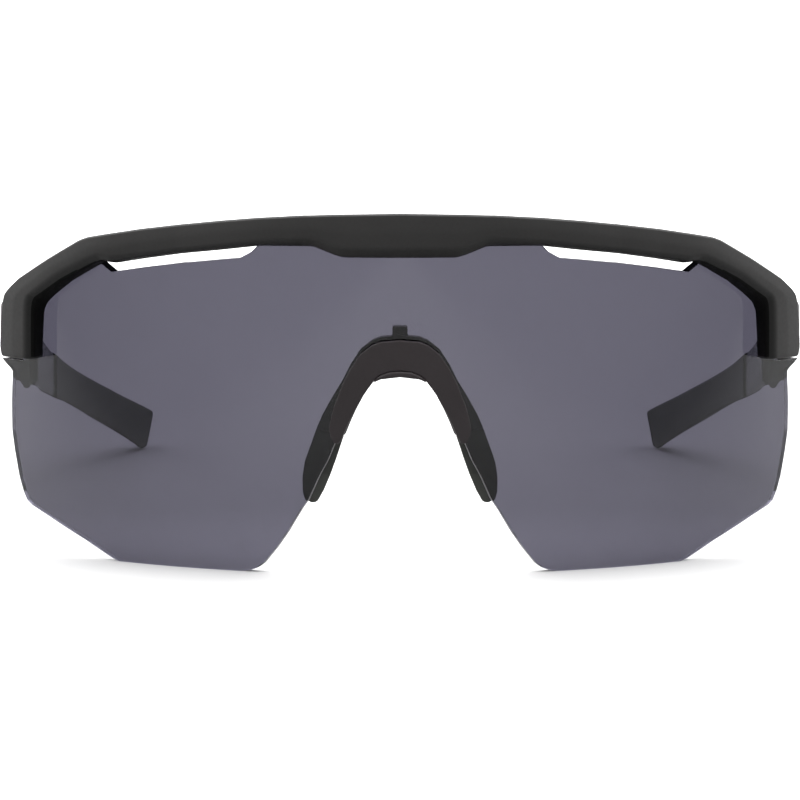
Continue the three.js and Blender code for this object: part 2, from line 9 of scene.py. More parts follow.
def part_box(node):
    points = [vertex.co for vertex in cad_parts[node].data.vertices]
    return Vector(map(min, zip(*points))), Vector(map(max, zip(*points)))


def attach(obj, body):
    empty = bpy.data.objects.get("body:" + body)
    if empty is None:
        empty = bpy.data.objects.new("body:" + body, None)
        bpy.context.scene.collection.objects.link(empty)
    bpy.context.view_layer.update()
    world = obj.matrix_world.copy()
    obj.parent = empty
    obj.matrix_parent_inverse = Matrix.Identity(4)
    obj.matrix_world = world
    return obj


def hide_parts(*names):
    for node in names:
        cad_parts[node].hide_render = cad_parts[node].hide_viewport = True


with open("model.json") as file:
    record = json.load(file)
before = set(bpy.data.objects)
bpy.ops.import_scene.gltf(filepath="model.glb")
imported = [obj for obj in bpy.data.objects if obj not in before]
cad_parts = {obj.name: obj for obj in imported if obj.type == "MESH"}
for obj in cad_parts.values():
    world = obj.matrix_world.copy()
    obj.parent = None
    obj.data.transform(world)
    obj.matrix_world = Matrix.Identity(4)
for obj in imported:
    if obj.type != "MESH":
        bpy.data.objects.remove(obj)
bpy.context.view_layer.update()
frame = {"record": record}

# Wraparound sport sunglasses: fine meshes, finishes and studio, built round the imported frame.
# Shapes are worked out in millimetres and turned into metres as each piece is finished.
# The wearer looks along -Y, +Z is up and +X is the wearer's left.

MM = 0.001

# ---- driving dimensions, in millimetres -----------------------------------------------------

WRAP_RADIUS = 95.0
BARREL_RADIUS = 220.0
BARREL_HEIGHT = 34.0
LEAN = 0.07

LENS_THICK = 2.0
LENS_RIM = 0.12
FIT_GAP = 0.25
FRAME_BACK = -4.0
BROW_PROUD = 2.05
PLATE_FRONT = 4.2

HINGE_X = 67.6
HINGE_Y = 41.0
EAR_RADIUS = 2.1
LOWER_EAR = (31.2, 34.2)
KNUCKLE = (34.6, 39.0)
UPPER_EAR = (39.4, 42.4)
SCREW_RADIUS = 0.8
SCREW_HEAD_RADIUS = 1.5
INSERT_RADIUS = 1.35
BUSH_RADIUS = 1.3
WASHER_RADIUS = 1.9
WASHER_THICK = 0.28
WASHER_LIFT = 0.06
BORE_GAP = 0.08
SCREW_GAP = 0.07
END_PLAY = 0.1
SLEEVE_GAP = 0.12
PAD_GAP = 0.15

# The shapes are drawn with the middle of the shield's front at Y = 0; the frame says where that is.
hinge_low, hinge_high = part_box("hinge_screw_left")
SHIFT = (hinge_low.y + hinge_high.y) / 2 / MM - HINGE_Y

# Shield outline: distance along the wrap from the middle, and height.
LENS_TOP = [
    (0, 60.6), (23.2, 60.6), (25.4, 58.5), (26.6, 57.3), (28.6, 56.2), (32.4, 55.8), (40, 54.9),
    (48, 53.7), (53.3, 52.8), (54.2, 52.7), (55.6, 53.5), (57, 54.3), (57.8, 55.1), (62.5, 52.9),
    (68.5, 49.7), (72.5, 46.9), (75.2, 44.2), (75.4, 40), (75.5, 35.15), (80.9, 35.15), (81.6, 35.05),
]
LENS_LOW = [
    (0, 37.8), (2.6, 37.6), (5, 36.6), (7, 34.6), (8.4, 32.4), (9.6, 29.5), (10.6, 26.5),
    (11.5, 23.7), (12.7, 20.8), (14.3, 17.9), (16.3, 13.6), (17.6, 11.8), (20.3, 7.5), (22.5, 4.5),
    (25.1, 1.5), (26.1, 0.8), (27.4, 0.3), (29.4, 0), (54.6, 0), (56, 0.4), (61.9, 3.2),
    (70.8, 6.8), (75.4, 8.5), (76.6, 9.3), (77.4, 10.9), (78.2, 13.7), (78.9, 18.3), (79.3, 22.0),
    (79.0, 27.6), (78.6, 31.3), (78.4, 32.8), (78.6, 33.1), (79.1, 33.5), (80.0, 34.0), (80.9, 34.6),
]

# Stretches of the shield's rim that take a painted highlight (at the nose and the lug) or painted shade
# (at the vent tab).
NOSE_GLINT_REACH, NOSE_GLINT_TOP = 22.0, 40.0
LUG_FROM, LUG_LOW = 75.6, 34.4
VENT_TAB_FROM, VENT_TAB_TO, VENT_TAB_LOW = 53.0, 58.5, 51.0
SKIN = 0.04

# Brow ribbon stations from the middle to the foot of an end plate: outer edge, lower front edge,
# seat at the shield, how far it stands proud of the shield, and how large its eased edge is.
BROW_STATIONS = [
    ((0, 64.45), (0, 56.9), (0, 56.6), BROW_PROUD, 1.5),
    ((9.9, 64.25), (9.9, 56.9), (9.9, 56.6), BROW_PROUD, 1.5),
    ((11.6, 64.2), (11.2, 57.3), (11.4, 57.0), BROW_PROUD, 1.4),
    ((15.2, 64.05), (15, 58.9), (15.3, 58.5), BROW_PROUD, 1.1),
    ((17, 64.0), (17, 59.1), (17, 58.5), BROW_PROUD, 0.9),
    ((25, 63.45), (25, 58.8), (25, 58.4), BROW_PROUD, 0.7),
    ((32, 62.75), (32, 58.0), (32, 57.5), BROW_PROUD, 0.6),
    ((39.5, 61.85), (39.5, 57.0), (39.5, 56.6), 2.1, 0.6),
    ((47, 60.8), (46.8, 55.85), (46.9, 55.4), 2.7, 0.6),
    ((53.5, 59.65), (52.6, 54.75), (52.9, 54.3), 3.5, 0.8),
    ((57.4, 58.9), (54.3, 55.1), (55.3, 54.4), 3.85, 1.0),
    ((59.0, 58.3), (57.0, 53.8), (57.6, 53.3), 4.0, 1.1),
    ((65.8, 54.55), (62.4, 51.1), (62.9, 50.5), PLATE_FRONT, 1.2),
    ((72.8, 50.5), (67.0, 48.4), (67.0, 47.7), PLATE_FRONT, 1.2),
    ((75.25, 48.55), (68.6, 47.6), (68.7, 46.3), PLATE_FRONT, 1.2),
    ((76.3, 47.4), (69.1, 46.7), (69.3, 45.2), PLATE_FRONT, 1.2),
    ((76.65, 46.0), (69.25, 45.3), (69.55, 44.3), PLATE_FRONT, 1.2),
    ((76.95, 42.0), (69.25, 41.6), (69.7, 41.4), PLATE_FRONT, 1.2),
    ((77.15, 37.8), (69.2, 37.8), (69.85, 37.8), PLATE_FRONT, 1.2),
    ((76.8, 36.6), (69.2, 36.6), (69.9, 36.6), PLATE_FRONT, 1.2),
]

# How far the wall in front of the shield stands proud of it, by distance along the wrap.
WALL_STAND = [(50, 3.0), (52.6, 3.5), (57, 3.85), (62, PLATE_FRONT)]

# Cheek from an end plate back to the temple, and the hinge block inside it: plan lines as
# (distance back, distance out), and top lines as (distance back, height).
CHEEK_FROM, CHEEK_TO, CHEEK_LOW = 26.6, 40.7, 36.0
CHEEK_OUTER = [(26.6, 70.1), (27.6, 70.9), (31, 71.8), (36, 72.4), (40.7, 72.1)]
CHEEK_INNER = [(26.6, 67.4), (33, 69.6), (40.7, 69.95)]
CHEEK_TOP = [(20, 47.4), (27, 46.4), (30, 45.7), (36, 44.1), (40.7, 42.8)]
BLOCK_FROM, BLOCK_TO = 27.4, 38.3
BLOCK_INNER = [(27.4, 64.4), (30, 64.8), (34, 65.3), (38.3, 65.5)]
BLOCK_OUTER = [(27.4, 69.1), (31.5, 70.1), (38.3, 70.1)]
BLOCK_TOP = [(20, 48.5), (28, 47.2), (35.5, 44.2), (38.3, 42.4)]
EAR_FOOT = 37.2
KNUCKLE_ROOM = (62, 75, 36.9, 44)
BOSS_PROFILE = [(0.02, 28.4), (0.3, 28.4), (0.5, 28.55), (2.02, 31.1), (2.02, 31.6), (0.02, 31.6)]

# Cover at the front of a temple, which closes against the cheek.
COVER_FROM, COVER_TO, COVER_LOW, COVER_HIGH, COVER_INNER = 41.0, 47.5, 31.2, 42.4, 69.95
COVER_OUTER = [(41.0, 72.1), (43.8, 71.9), (47.5, 71.0)]

# Temple side view: (distance back, underside height, top height).
ARM_SIDE = [
    (43.5, 28.2, 41.6), (46, 28.3, 40.9), (55, 27.5, 38.2), (66, 25.3, 35.8), (79, 22.6, 32.3),
    (91.6, 20.0, 28.6),
]
INNER_FACE = [
    (41, 65.7), (46, 66.4), (55, 67.1), (66, 67.5), (80, 67.4), (95, 66.5), (108, 65.2),
    (120, 63.6), (132, 61.5), (145, 58.6), (156, 55.5), (168, 51.8),
]
ARM_THICK = [(41, 4.4), (55, 3.8), (70, 3.4), (92, 3.2)]
SLEEVE_THICK = [(92, 3.9), (104, 4.2), (140, 4.2), (168, 3.8)]
# Sleeve side view, front to back: a point of the underside and the point of the top over it.
SLEEVE_SIDE = [
    (91.8, 19.7, 91.8, 28.5), (93.2, 19.3, 93.2, 28.4), (104, 17.2, 104.4, 25.3),
    (116, 14.4, 117, 22.0), (128, 11.1, 130, 18.6), (140, 7.25, 143, 15.05), (149.5, 3.8, 154, 11.75),
    (156.5, 1.2, 161.4, 9.4), (159.8, 0, 164.4, 8.3), (163.4, 0, 166.6, 7.4),
]
TANG_FROM, TANG_TO, TANG_THICK, TANG_UNDER, TANG_OVER = 88.0, 101.0, 1.8, 2.4, 2.0
TEMPLE_RISE = 2.0
TIP_FROM, TIP_LENGTH, TIP_RISE, TIP_LEAN = 140.0, 26.0, 0.6, 1.6
MIDDLE_OF_ARM = 1.75
CORE_FROM, CORE_TO, CORE_THICK, CORE_HEIGHT = 86.0, 150.0, 0.9, 2.6
CORE_CLIMB_BEFORE, CORE_CLIMB = 92.0, 0.24

# Nose bridge and pads, half outlines on the face: distance along the wrap, and height.
NOSE_OUTER = [
    (0, 44.5), (1.35, 44.5), (1.35, 42.8), (3.5, 42.6), (5, 42.0), (7.1, 40.4), (8.8, 37.8),
    (10.2, 35.0), (12.1, 31.9), (13.8, 28.9), (14.9, 26.4),
]
NOSE_OPENING = [
    (10.0, 25.0), (9.0, 27.4), (8.0, 29.5), (6.4, 32.4), (4.6, 34.8), (3.4, 35.3), (0, 35.7),
]
NOSE_WEB = [
    (0, 37.3), (2.5, 37.1), (4.7, 36.2), (6.7, 34.2), (8.1, 32.1), (9.3, 29.2), (10.3, 26.2),
    (10.6, 25.5),
]
# The lip's lines lie on the front of the shield, and the bead runs along its arch.
LIP_OPENING = [
    (10.0, 25.0), (9.0, 27.4), (8.0, 29.5), (6.4, 32.4), (4.9, 34.7), (3.6, 36.1), (1.9, 36.8),
    (0, 37.0),
]
NOSE_LIP = [
    (0, 42.3), (3.4, 42.0), (4.9, 41.4), (6.9, 39.8), (8.5, 37.3), (9.8, 34.8), (10.7, 32.3),
    (11.4, 30.5), (11.9, 28.6), (12.3, 26.6), (12.0, 25.1), (11.4, 24.0), (10.6, 24.0),
]
ARCH_BEAD = [
    (0, 36.9), (2.0, 36.75), (3.5, 36.1), (4.5, 35.3), (4.5, 34.95), (3.3, 35.45), (0, 35.85),
]
SEAM_RADIUS = 0.2
TANG_BACK, TANG_FRONT = -4.4, -3.2
PAD_TANG = [
    (14.5, 26.3), (15.2, 22.6), (16.2, 18.6), (16.2, 15.6), (15.0, 15.6), (12.0, 20.6), (10.9, 24.2),
]
PAD_OUTER = [
    (14.95, 26.34), (16.1, 23.3), (17.2, 20.4), (17.7, 17.5), (17.7, 14.8), (17.3, 13.3), (16.4, 12.6),
]
PAD_INNER = [
    (15.2, 12.8), (13.9, 15.0), (12.6, 17.9), (11.5, 20.8), (10.3, 24.3), (10.05, 24.94),
]


# ---- curves and outlines ----------------------------------------------------------------------

def along(table, x, column=1):
    """Straight-line reading of a table at x."""
    if x <= table[0][0]:
        return table[0][column]
    for before, after in zip(table, table[1:]):
        if x <= after[0]:
            share = (x - before[0]) / (after[0] - before[0])
            return before[column] + (after[column] - before[column]) * share
    return table[-1][column]


def flowing(table, x, column=1):
    """A smooth curve through a table, read at x."""
    x = min(max(x, table[0][0]), table[-1][0])
    last = len(table) - 2
    i = next((k for k in range(last + 1) if x <= table[k + 1][0]), last)

    def slope(k):
        low, high = max(k - 1, 0), min(k + 1, len(table) - 1)
        return (table[high][column] - table[low][column]) / (table[high][0] - table[low][0])

    width = table[i + 1][0] - table[i][0]
    u = (x - table[i][0]) / width
    a, b = table[i][column], table[i + 1][column]
    rise, fall = slope(i) * width, slope(i + 1) * width
    return (
        a * (1 + 2 * u) * (1 - u) ** 2 + rise * u * (1 - u) ** 2
        + b * u * u * (3 - 2 * u) + fall * u * u * (u - 1)
    )


def wrap(s, z, t):
    """A point of the face: s along the wrap, z up, t outward."""
    angle = s / WRAP_RADIUS
    r = WRAP_RADIUS - (z - BARREL_HEIGHT) ** 2 / (2 * BARREL_RADIUS) + t
    return Vector((r * math.sin(angle), WRAP_RADIUS - r * math.cos(angle) - LEAN * z + SHIFT, z))


def unwrap(point):
    """Distance along the wrap, height and offset of a finished point, in millimetres."""
    x, y, z = (value / MM for value in point)
    reach = WRAP_RADIUS - LEAN * z + SHIFT - y
    bulge = (z - BARREL_HEIGHT) ** 2 / (2 * BARREL_RADIUS)
    return WRAP_RADIUS * math.atan2(x, reach), z, math.hypot(x, reach) - WRAP_RADIUS + bulge


def both_sides(outline):
    """A half outline with its mirror image across the middle of the face."""
    left = [(-s, z) for s, z in outline if s > 0]
    return list(outline) + left[::-1]


def rounded(outline, radius, steps=4):
    """An outline with each corner rounded by the same number of points."""
    made = []
    count = len(outline)
    for i, corner in enumerate(outline):
        r = radius[i] if isinstance(radius, (list, tuple)) else radius
        at, before, after = Vector(corner), Vector(outline[i - 1]), Vector(outline[(i + 1) % count])
        back, on = before - at, after - at
        turn = math.pi - back.angle(on, math.pi)
        reach = max(r * math.tan(turn / 2), 0.03)
        reach = min(reach, 0.45 * back.length, 0.45 * on.length)
        start, end = at + back.normalized() * reach, at + on.normalized() * reach
        for k in range(steps + 1):
            u = k / steps
            made.append(start * (1 - u) ** 2 + at * 2 * u * (1 - u) + end * u * u)
    return [tuple(p) for p in made]


def area(outline):
    """The outline's area, positive when it runs anticlockwise."""
    return sum(
        a[0] * b[1] - b[0] * a[1] for a, b in zip(outline, list(outline[1:]) + [outline[0]])
    ) / 2


def inset(outline, distance):
    """An outline moved inward by a distance, with its corners kept; a negative distance grows it."""
    sign = 1 if area(outline) > 0 else -1
    points = [Vector(p) for p in outline]
    made = []
    for i, p in enumerate(points):
        before = (p - points[i - 1]).normalized()
        after = (points[(i + 1) % len(points)] - p).normalized()
        n1 = Vector((-before.y, before.x)) * sign
        n2 = Vector((-after.y, after.x)) * sign
        made.append(tuple(p + (n1 + n2) * (distance / max(1 + n1.dot(n2), 0.3))))
    return made


# ---- meshes -------------------------------------------------------------------------------------

def mesh_from(name, vertices, faces):
    mesh = bpy.data.meshes.new(name)
    mesh.from_pydata([tuple(v) for v in vertices], [], faces)
    bm = bmesh.new()
    bm.from_mesh(mesh)
    bmesh.ops.remove_doubles(bm, verts=bm.verts, dist=1e-5)
    bmesh.ops.recalc_face_normals(bm, faces=bm.faces)
    if bm.calc_volume(signed=True) < 0:
        bmesh.ops.reverse_faces(bm, faces=bm.faces)
    bm.to_mesh(mesh)
    bm.free()
    return mesh


def loft(name, rings):
    """A closed solid through rings of equal length."""
    count = len(rings[0])
    vertices = [p for ring in rings for p in ring]
    faces = [tuple(range(count))[::-1]]
    for i in range(len(rings) - 1):
        for j in range(count):
            k = (j + 1) % count
            a, b = i * count, (i + 1) * count
            faces.append((a + j, a + k, b + k, b + j))
    faces.append(tuple(range((len(rings) - 1) * count, len(rings) * count)))
    return mesh_from(name, vertices, faces)


def sliced(mesh, axis, step):
    """Cuts a mesh into strips across one axis, so that it can bend."""
    bm = bmesh.new()
    bm.from_mesh(mesh)
    low = min(v.co[axis] for v in bm.verts)
    high = max(v.co[axis] for v in bm.verts)
    place = math.ceil(low / step) * step
    normal = [1.0 if k == axis else 0.0 for k in range(3)]
    while place < high:
        geometry = bm.verts[:] + bm.edges[:] + bm.faces[:]
        at = [place * n for n in normal]
        bmesh.ops.bisect_plane(bm, geom=geometry, dist=0.01, plane_co=at, plane_no=normal)
        place += step
    bm.to_mesh(mesh)
    bm.free()
    return mesh


def face_plate(name, layers, step_s=2.0, step_z=2.5):
    """Layers of (offset, outline) on the face, closed, cut fine and bent onto the wrap."""
    mesh = loft(name, [[(s, z, t) for s, z in outline] for t, outline in layers])
    sliced(mesh, 0, step_s)
    sliced(mesh, 1, step_z)
    for v in mesh.vertices:
        v.co = wrap(*v.co)
    return fixed(mesh)


def fixed(mesh):
    """Turns the faces outward and drops anything without area."""
    bm = bmesh.new()
    bm.from_mesh(mesh)
    bmesh.ops.dissolve_degenerate(bm, dist=1e-4, edges=bm.edges)
    bmesh.ops.recalc_face_normals(bm, faces=bm.faces)
    if bm.calc_volume(signed=True) < 0:
        bmesh.ops.reverse_faces(bm, faces=bm.faces)
    bm.to_mesh(mesh)
    bm.free()
    return mesh


def mirrored(mesh):
    twin = mesh.copy()
    twin.transform(Matrix.Scale(-1, 4, (1, 0, 0)))
    twin.flip_normals()
    return twin


def combined(base, tools, operation):
    """Joins meshes to a base, or cuts them from it."""
    body = bpy.data.objects.new("work", closed(base))
    bpy.context.scene.collection.objects.link(body)
    for tool_mesh in tools:
        tool = bpy.data.objects.new("tool", closed(tool_mesh))
        bpy.context.scene.collection.objects.link(tool)
        step = body.modifiers.new("step", "BOOLEAN")
        step.operation = operation
        step.solver = "MANIFOLD"
        step.object = tool
        bpy.context.view_layer.update()
        graph = bpy.context.evaluated_depsgraph_get()
        result = bpy.data.meshes.new_from_object(body.evaluated_get(graph))
        body.modifiers.clear()
        body.data = closed(result)
        bpy.data.objects.remove(tool)
    result = body.data
    bpy.data.objects.remove(body)
    return result


def closed(mesh):
    """The mesh itself, or a stop when it isn't one closed skin."""
    bm = bmesh.new()
    bm.from_mesh(mesh)
    open_edges = sum(not edge.is_manifold for edge in bm.edges)
    empty = not bm.faces
    bm.free()
    if open_edges or empty:
        raise ValueError(f"{mesh.name} isn't closed: {open_edges} open edges")
    return mesh


def joined(base, *tools):
    return combined(base, tools, "UNION")


def cut(base, *tools):
    return combined(base, tools, "DIFFERENCE")


def prism(name, outline, low, high, bevel=0.25, place=None):
    """An upright prism over an (x, y) outline with softened rims; place turns (x, y, z) elsewhere."""
    place = place or (lambda x, y, z: (x, y, z))
    rings = []
    for height, share in ((low, 1.0), (low + bevel * 0.3, 0.3), (low + bevel, 0.0),
                          (high - bevel, 0.0), (high - bevel * 0.3, 0.3), (high, 1.0)):
        rings.append([place(x, y, height) for x, y in inset(outline, bevel * share)])
    return loft(name, rings)


def turned(name, profile, sides=64):
    """A solid turned about the hinge axis; the profile is (radius, height)."""
    rings = []
    for i in range(sides):
        angle = 2 * math.pi * i / sides
        rings.append([
            (HINGE_X + r * math.cos(angle), HINGE_Y + SHIFT + r * math.sin(angle), z)
            for r, z in profile
        ])
    vertices = [p for ring in rings for p in ring]
    count = len(profile)
    faces = []
    for i in range(sides):
        for j in range(count):
            k = (j + 1) % count
            a, b = i * count, (i + 1) % sides * count
            faces.append((a + j, a + k, b + k, b + j))
    return fixed(mesh_from(name, vertices, faces))


def section(low, high, inner, outer, under, over=None, crown=0.0, rise=0.0, lean=0.0):
    """A rounded oblong across a temple, as (x, y, z); low and high are (y, z), under and over radii.

    The underside climbs by rise from the inner face to the outer one, and the top leans inward.
    """
    over = under if over is None else over
    tall = high[1] - low[1]
    widest = 0.48 * min(outer - inner, tall)
    low_radius, high_radius = min(under, widest), min(over, widest)
    corners = [(inner, 0), (outer, rise), (outer, tall), (inner, tall)]
    radii = [low_radius if rise == 0 else 0.5, low_radius, high_radius, high_radius]
    if crown:
        corners.insert(2, (outer + crown, tall * 0.5))
        radii.insert(2, 12.0)
    points = []
    for x, up in rounded(corners, radii, 6):
        f = up / tall
        x += lean * (0.45 - f)
        points.append((x, low[0] + (high[0] - low[0]) * f + SHIFT, low[1] + tall * f))
    return points


def spread(first, last, step):
    """Even places from first to last, about a step apart."""
    count = max(1, round((last - first) / step))
    return [first + (last - first) * i / count for i in range(count + 1)]


def eased_places(first, last, step, starts, ends, margins):
    """Places along a loft with how far each is drawn in: only those near the two ends are.

    The starts and ends are (distance from that end, how far drawn in), and the plain places
    between them keep the margins from the ends.
    """
    places = [(first + distance, ease) for distance, ease in starts]
    places += [(place, 0) for place in spread(first + margins[0], last - margins[1], step)]
    return places + [(last - distance, ease) for distance, ease in ends]


def finished(name, mesh, body, nodes, finish, angle=32):
    """Puts a piece in place in metres, with its finish, on its body."""
    mesh.transform(Matrix.Scale(MM, 4))
    mesh.name = name
    mesh.polygons.foreach_set("use_smooth", [True] * len(mesh.polygons))
    mesh.set_sharp_from_angle(angle=math.radians(angle))
    mesh.materials.clear()
    mesh.materials.append(finish)
    piece = bpy.data.objects.new(name, mesh)
    bpy.context.scene.collection.objects.link(piece)
    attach(piece, body)
    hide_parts(*nodes)
    return piece


# ---- finishes -----------------------------------------------------------------------------------

def node(tree, kind, **settings):
    """A node with its inputs, or else its own settings, filled in by name."""
    made = tree.nodes.new(kind)
    for key, value in settings.items():
        if key in made.inputs:
            made.inputs[key].default_value = value
        else:
            setattr(made, key, value)
    return made


def noise(tree, coordinates, scale, detail=2.0):
    made = node(tree, "ShaderNodeTexNoise", Scale=scale, Detail=detail)
    tree.links.new(coordinates, made.inputs["Vector"])
    return made.outputs["Fac"]


def ranged(tree, value, low, high, from_low=0.3, from_high=0.7):
    """A value stretched from one range onto another, and held inside it."""
    made = node(tree, "ShaderNodeMapRange")
    tree.links.new(value, made.inputs["Value"])
    numbers = {"From Min": from_low, "From Max": from_high, "To Min": low, "To Max": high}
    for key, number in numbers.items():
        made.inputs[key].default_value = number
    return made.outputs["Result"]


def feed(tree, socket, value):
    """Links a value to a socket, or sets it there when it is a plain number or colour."""
    if hasattr(value, "links"):
        tree.links.new(value, socket)
    else:
        socket.default_value = value


def maths(tree, operation, *values):
    made = node(tree, "ShaderNodeMath", operation=operation)
    for socket, value in zip(made.inputs, values):
        feed(tree, socket, value)
    return made.outputs[0]


def split(tree, vector):
    made = node(tree, "ShaderNodeSeparateXYZ")
    tree.links.new(vector, made.inputs[0])
    return made.outputs


def mixed(tree, share, first, second):
    made = node(tree, "ShaderNodeMix", data_type="RGBA")
    tree.links.new(share, made.inputs["Factor"])
    for key, value in (("A", first), ("B", second)):
        socket = next(i for i in made.inputs if i.name == key and i.type == "RGBA")
        feed(tree, socket, value if hasattr(value, "links") else (*value, 1))
    return next(o for o in made.outputs if o.type == "RGBA")


def bumped(tree, surface, height, strength, depth):
    """A fine relief on a surface, its depth in millimetres."""
    bump = node(tree, "ShaderNodeBump", Strength=strength, Distance=depth * MM)
    tree.links.new(height, bump.inputs["Height"])
    tree.links.new(bump.outputs["Normal"], surface.inputs["Normal"])


def shader(name):
    material = bpy.data.materials.new(name)
    material.use_nodes = True
    tree = material.node_tree
    surface = tree.nodes["Principled BSDF"]
    coordinates = node(tree, "ShaderNodeTexCoord").outputs["Object"]
    return material, tree, surface, coordinates


# Painted shade for moulded parts: how much a downward turn counts, the turn over which the tone goes to
# black, and that black.
GROUND_SHARE = 0.6
INWARD_TURN = (-0.75, -0.08)
INWARD_SHADE_BLACK = (0.002, 0.002, 0.002)


def shaded_inward(tree, at, tone):
    """Painted shade: a tone that deepens toward black where the skin turns toward the middle of the face
    or the ground.
    """
    side = split(tree, at)["X"]
    sine = maths(tree, "MULTIPLY", maths(tree, "ABSOLUTE", side), 1 / (WRAP_RADIUS * MM))
    cosine = maths(tree, "SQRT", maths(tree, "SUBTRACT", 1.0, maths(tree, "MULTIPLY", sine, sine)))
    outward = node(tree, "ShaderNodeCombineXYZ")
    signed = maths(tree, "MULTIPLY", maths(tree, "SIGN", side), cosine)
    for socket, value in zip(outward.inputs, (signed, sine, GROUND_SHARE)):
        feed(tree, socket, value)
    turn = node(tree, "ShaderNodeVectorMath", operation="DOT_PRODUCT")
    tree.links.new(node(tree, "ShaderNodeNewGeometry").outputs["Normal"], turn.inputs[0])
    tree.links.new(outward.outputs[0], turn.inputs[1])
    depth = ranged(tree, turn.outputs["Value"], 1, 0, *INWARD_TURN)
    return mixed(tree, depth, tone, INWARD_SHADE_BLACK)


def moulded(
    name, color, roughness, grain=5200, depth=0.012, wear=0.25, edge=0.35, level=0.5, inward=False,
):
    """Moulded polymer: a fine sparked grain, faint flow marks, and rims rubbed a little smoother; with
    inward set, painted shade deepens the tone where the skin turns inward or down.
    """
    material, tree, surface, at = shader(name)
    broad = noise(tree, at, 70, 3)
    fine = noise(tree, at, grain, 2)
    specks = noise(tree, at, grain * 0.35, 4)
    rim = ranged(tree, node(tree, "ShaderNodeNewGeometry").outputs["Pointiness"], 0, edge, 0.51, 0.60)
    dark = [c * 0.86 for c in color]
    light = [c * 1.16 for c in color]
    worn = [min(1.0, c * 1.7 + 0.012) for c in color]
    tone = mixed(tree, ranged(tree, broad, 0, 1), dark, light)
    # Painted shade: the tone goes toward black where the skin turns toward the middle of the face or the
    # ground.
    if inward:
        tone = shaded_inward(tree, at, tone)
    tree.links.new(mixed(tree, rim, tone, worn), surface.inputs["Base Color"])
    plain = ranged(tree, specks, roughness - 0.05, roughness + 0.06)
    tree.links.new(maths(tree, "MULTIPLY_ADD", rim, -wear, plain), surface.inputs["Roughness"])
    bumped(tree, surface, fine, 0.6, depth)
    surface.inputs["Specular IOR Level"].default_value = level
    return material


def rubber(name, color, roughness, sheen=0.1):
    """Soft elastomer: matte, faintly dusty on top, with a fine pebbled skin."""
    material, tree, surface, at = shader(name)
    pebbles = node(tree, "ShaderNodeTexVoronoi", Scale=6000, feature="SMOOTH_F1")
    tree.links.new(at, pebbles.inputs["Vector"])
    haze = noise(tree, at, 120, 4)
    tone = mixed(tree, ranged(tree, haze, 0, 1), [c * 0.8 for c in color], [c * 1.3 for c in color])
    tree.links.new(tone, surface.inputs["Base Color"])
    tree.links.new(ranged(tree, haze, roughness - 0.07, roughness + 0.07), surface.inputs["Roughness"])
    bumped(tree, surface, pebbles.outputs["Distance"], 0.35, 0.006)
    surface.inputs["Sheen Weight"].default_value = sheen
    surface.inputs["Sheen Roughness"].default_value = 0.5
    surface.inputs["Specular IOR Level"].default_value = 0.4
    return material


def metal(name, color, roughness, scratches=900):
    """Plain turned metal with fine machining lines and a little tarnish."""
    material, tree, surface, at = shader(name)
    stretch = node(tree, "ShaderNodeMapping")
    stretch.inputs["Scale"].default_value = (1, 1, 9)
    tree.links.new(at, stretch.inputs["Vector"])
    lines = noise(tree, stretch.outputs["Vector"], scratches, 4)
    tarnish = noise(tree, at, 400, 3)
    tone = mixed(tree, ranged(tree, tarnish, 0, 1), [c * 0.78 for c in color], color)
    tree.links.new(tone, surface.inputs["Base Color"])
    tree.links.new(ranged(tree, lines, roughness - 0.08, roughness + 0.12), surface.inputs["Roughness"])
    bumped(tree, surface, lines, 0.5, 0.004)
    surface.inputs["Metallic"].default_value = 1.0
    return material


def tinted_lens():
    """Smoke polycarbonate: the tint is in the sheet, with the faintest smudges on its skin."""
    material, tree, surface, at = shader("smoke_lens")
    smudge = noise(tree, at, 45, 5)
    tone = mixed(tree, ranged(tree, smudge, 0, 1), (0.97, 0.97, 0.975), (1.0, 1.0, 1.0))
    tree.links.new(tone, surface.inputs["Base Color"])
    surface.inputs["Roughness"].default_value = 0.0
    surface.inputs["Transmission Weight"].default_value = 1.0
    surface.inputs["IOR"].default_value = 1.585
    inside = node(tree, "ShaderNodeVolumeAbsorption", Density=1110.0, Color=(0.052, 0.036, 0.158, 1))
    tree.links.new(inside.outputs["Volume"], tree.nodes["Material Output"].inputs["Volume"])
    return material


def painted_rim_finish(name, color, level):
    """A rim of the sheet in a flat colour, used for painted highlight and painted shade on it, with fine
    tool marks.
    """
    material, tree, surface, at = shader(name)
    grain = noise(tree, at, 3000, 3)
    tone = mixed(tree, ranged(tree, grain, 0, 1), [c * 0.85 for c in color], color)
    tree.links.new(tone, surface.inputs["Base Color"])
    tree.links.new(ranged(tree, grain, 0.32, 0.5), surface.inputs["Roughness"])
    surface.inputs["Specular IOR Level"].default_value = level
    return material


# The frame's tone carries painted shade where its skin turns inward or down.
FRAME_FINISH = moulded("matte_black_frame", (0.0275, 0.0265, 0.0262), 0.56, edge=0.05, inward=True)
# Near-black finish for the wall in front of the shield where it faces inward: painted shade.
REBATE_SHADE_FINISH = moulded("rebate_painted_shade", (0.0035,) * 3, 0.6, wear=0.05, edge=0.0, level=0.12)
NOSE_FINISH = moulded("satin_nose_bridge", (0.034, 0.0265, 0.0290), 0.5, wear=0.15, edge=0.1)
TEMPLE_FINISH = moulded(
    "satin_black_temple", (0.026, 0.0255, 0.026), 0.22, depth=0.002, wear=0.05, edge=0.1,
)
SLEEVE_FINISH = rubber("rubber_sleeve", (0.012, 0.012, 0.0145), 0.82)
PAD_FINISH = rubber("rubber_pad", (0.075, 0.078, 0.070), 0.7)
STEEL_FINISH = metal("hinge_steel", (0.62, 0.62, 0.63), 0.3)
BRASS_FINISH = metal("insert_brass", (0.66, 0.48, 0.2), 0.34)
WASHER_FINISH = moulded("nylon_washer", (0.62, 0.6, 0.54), 0.5, wear=0.05, edge=0.1)
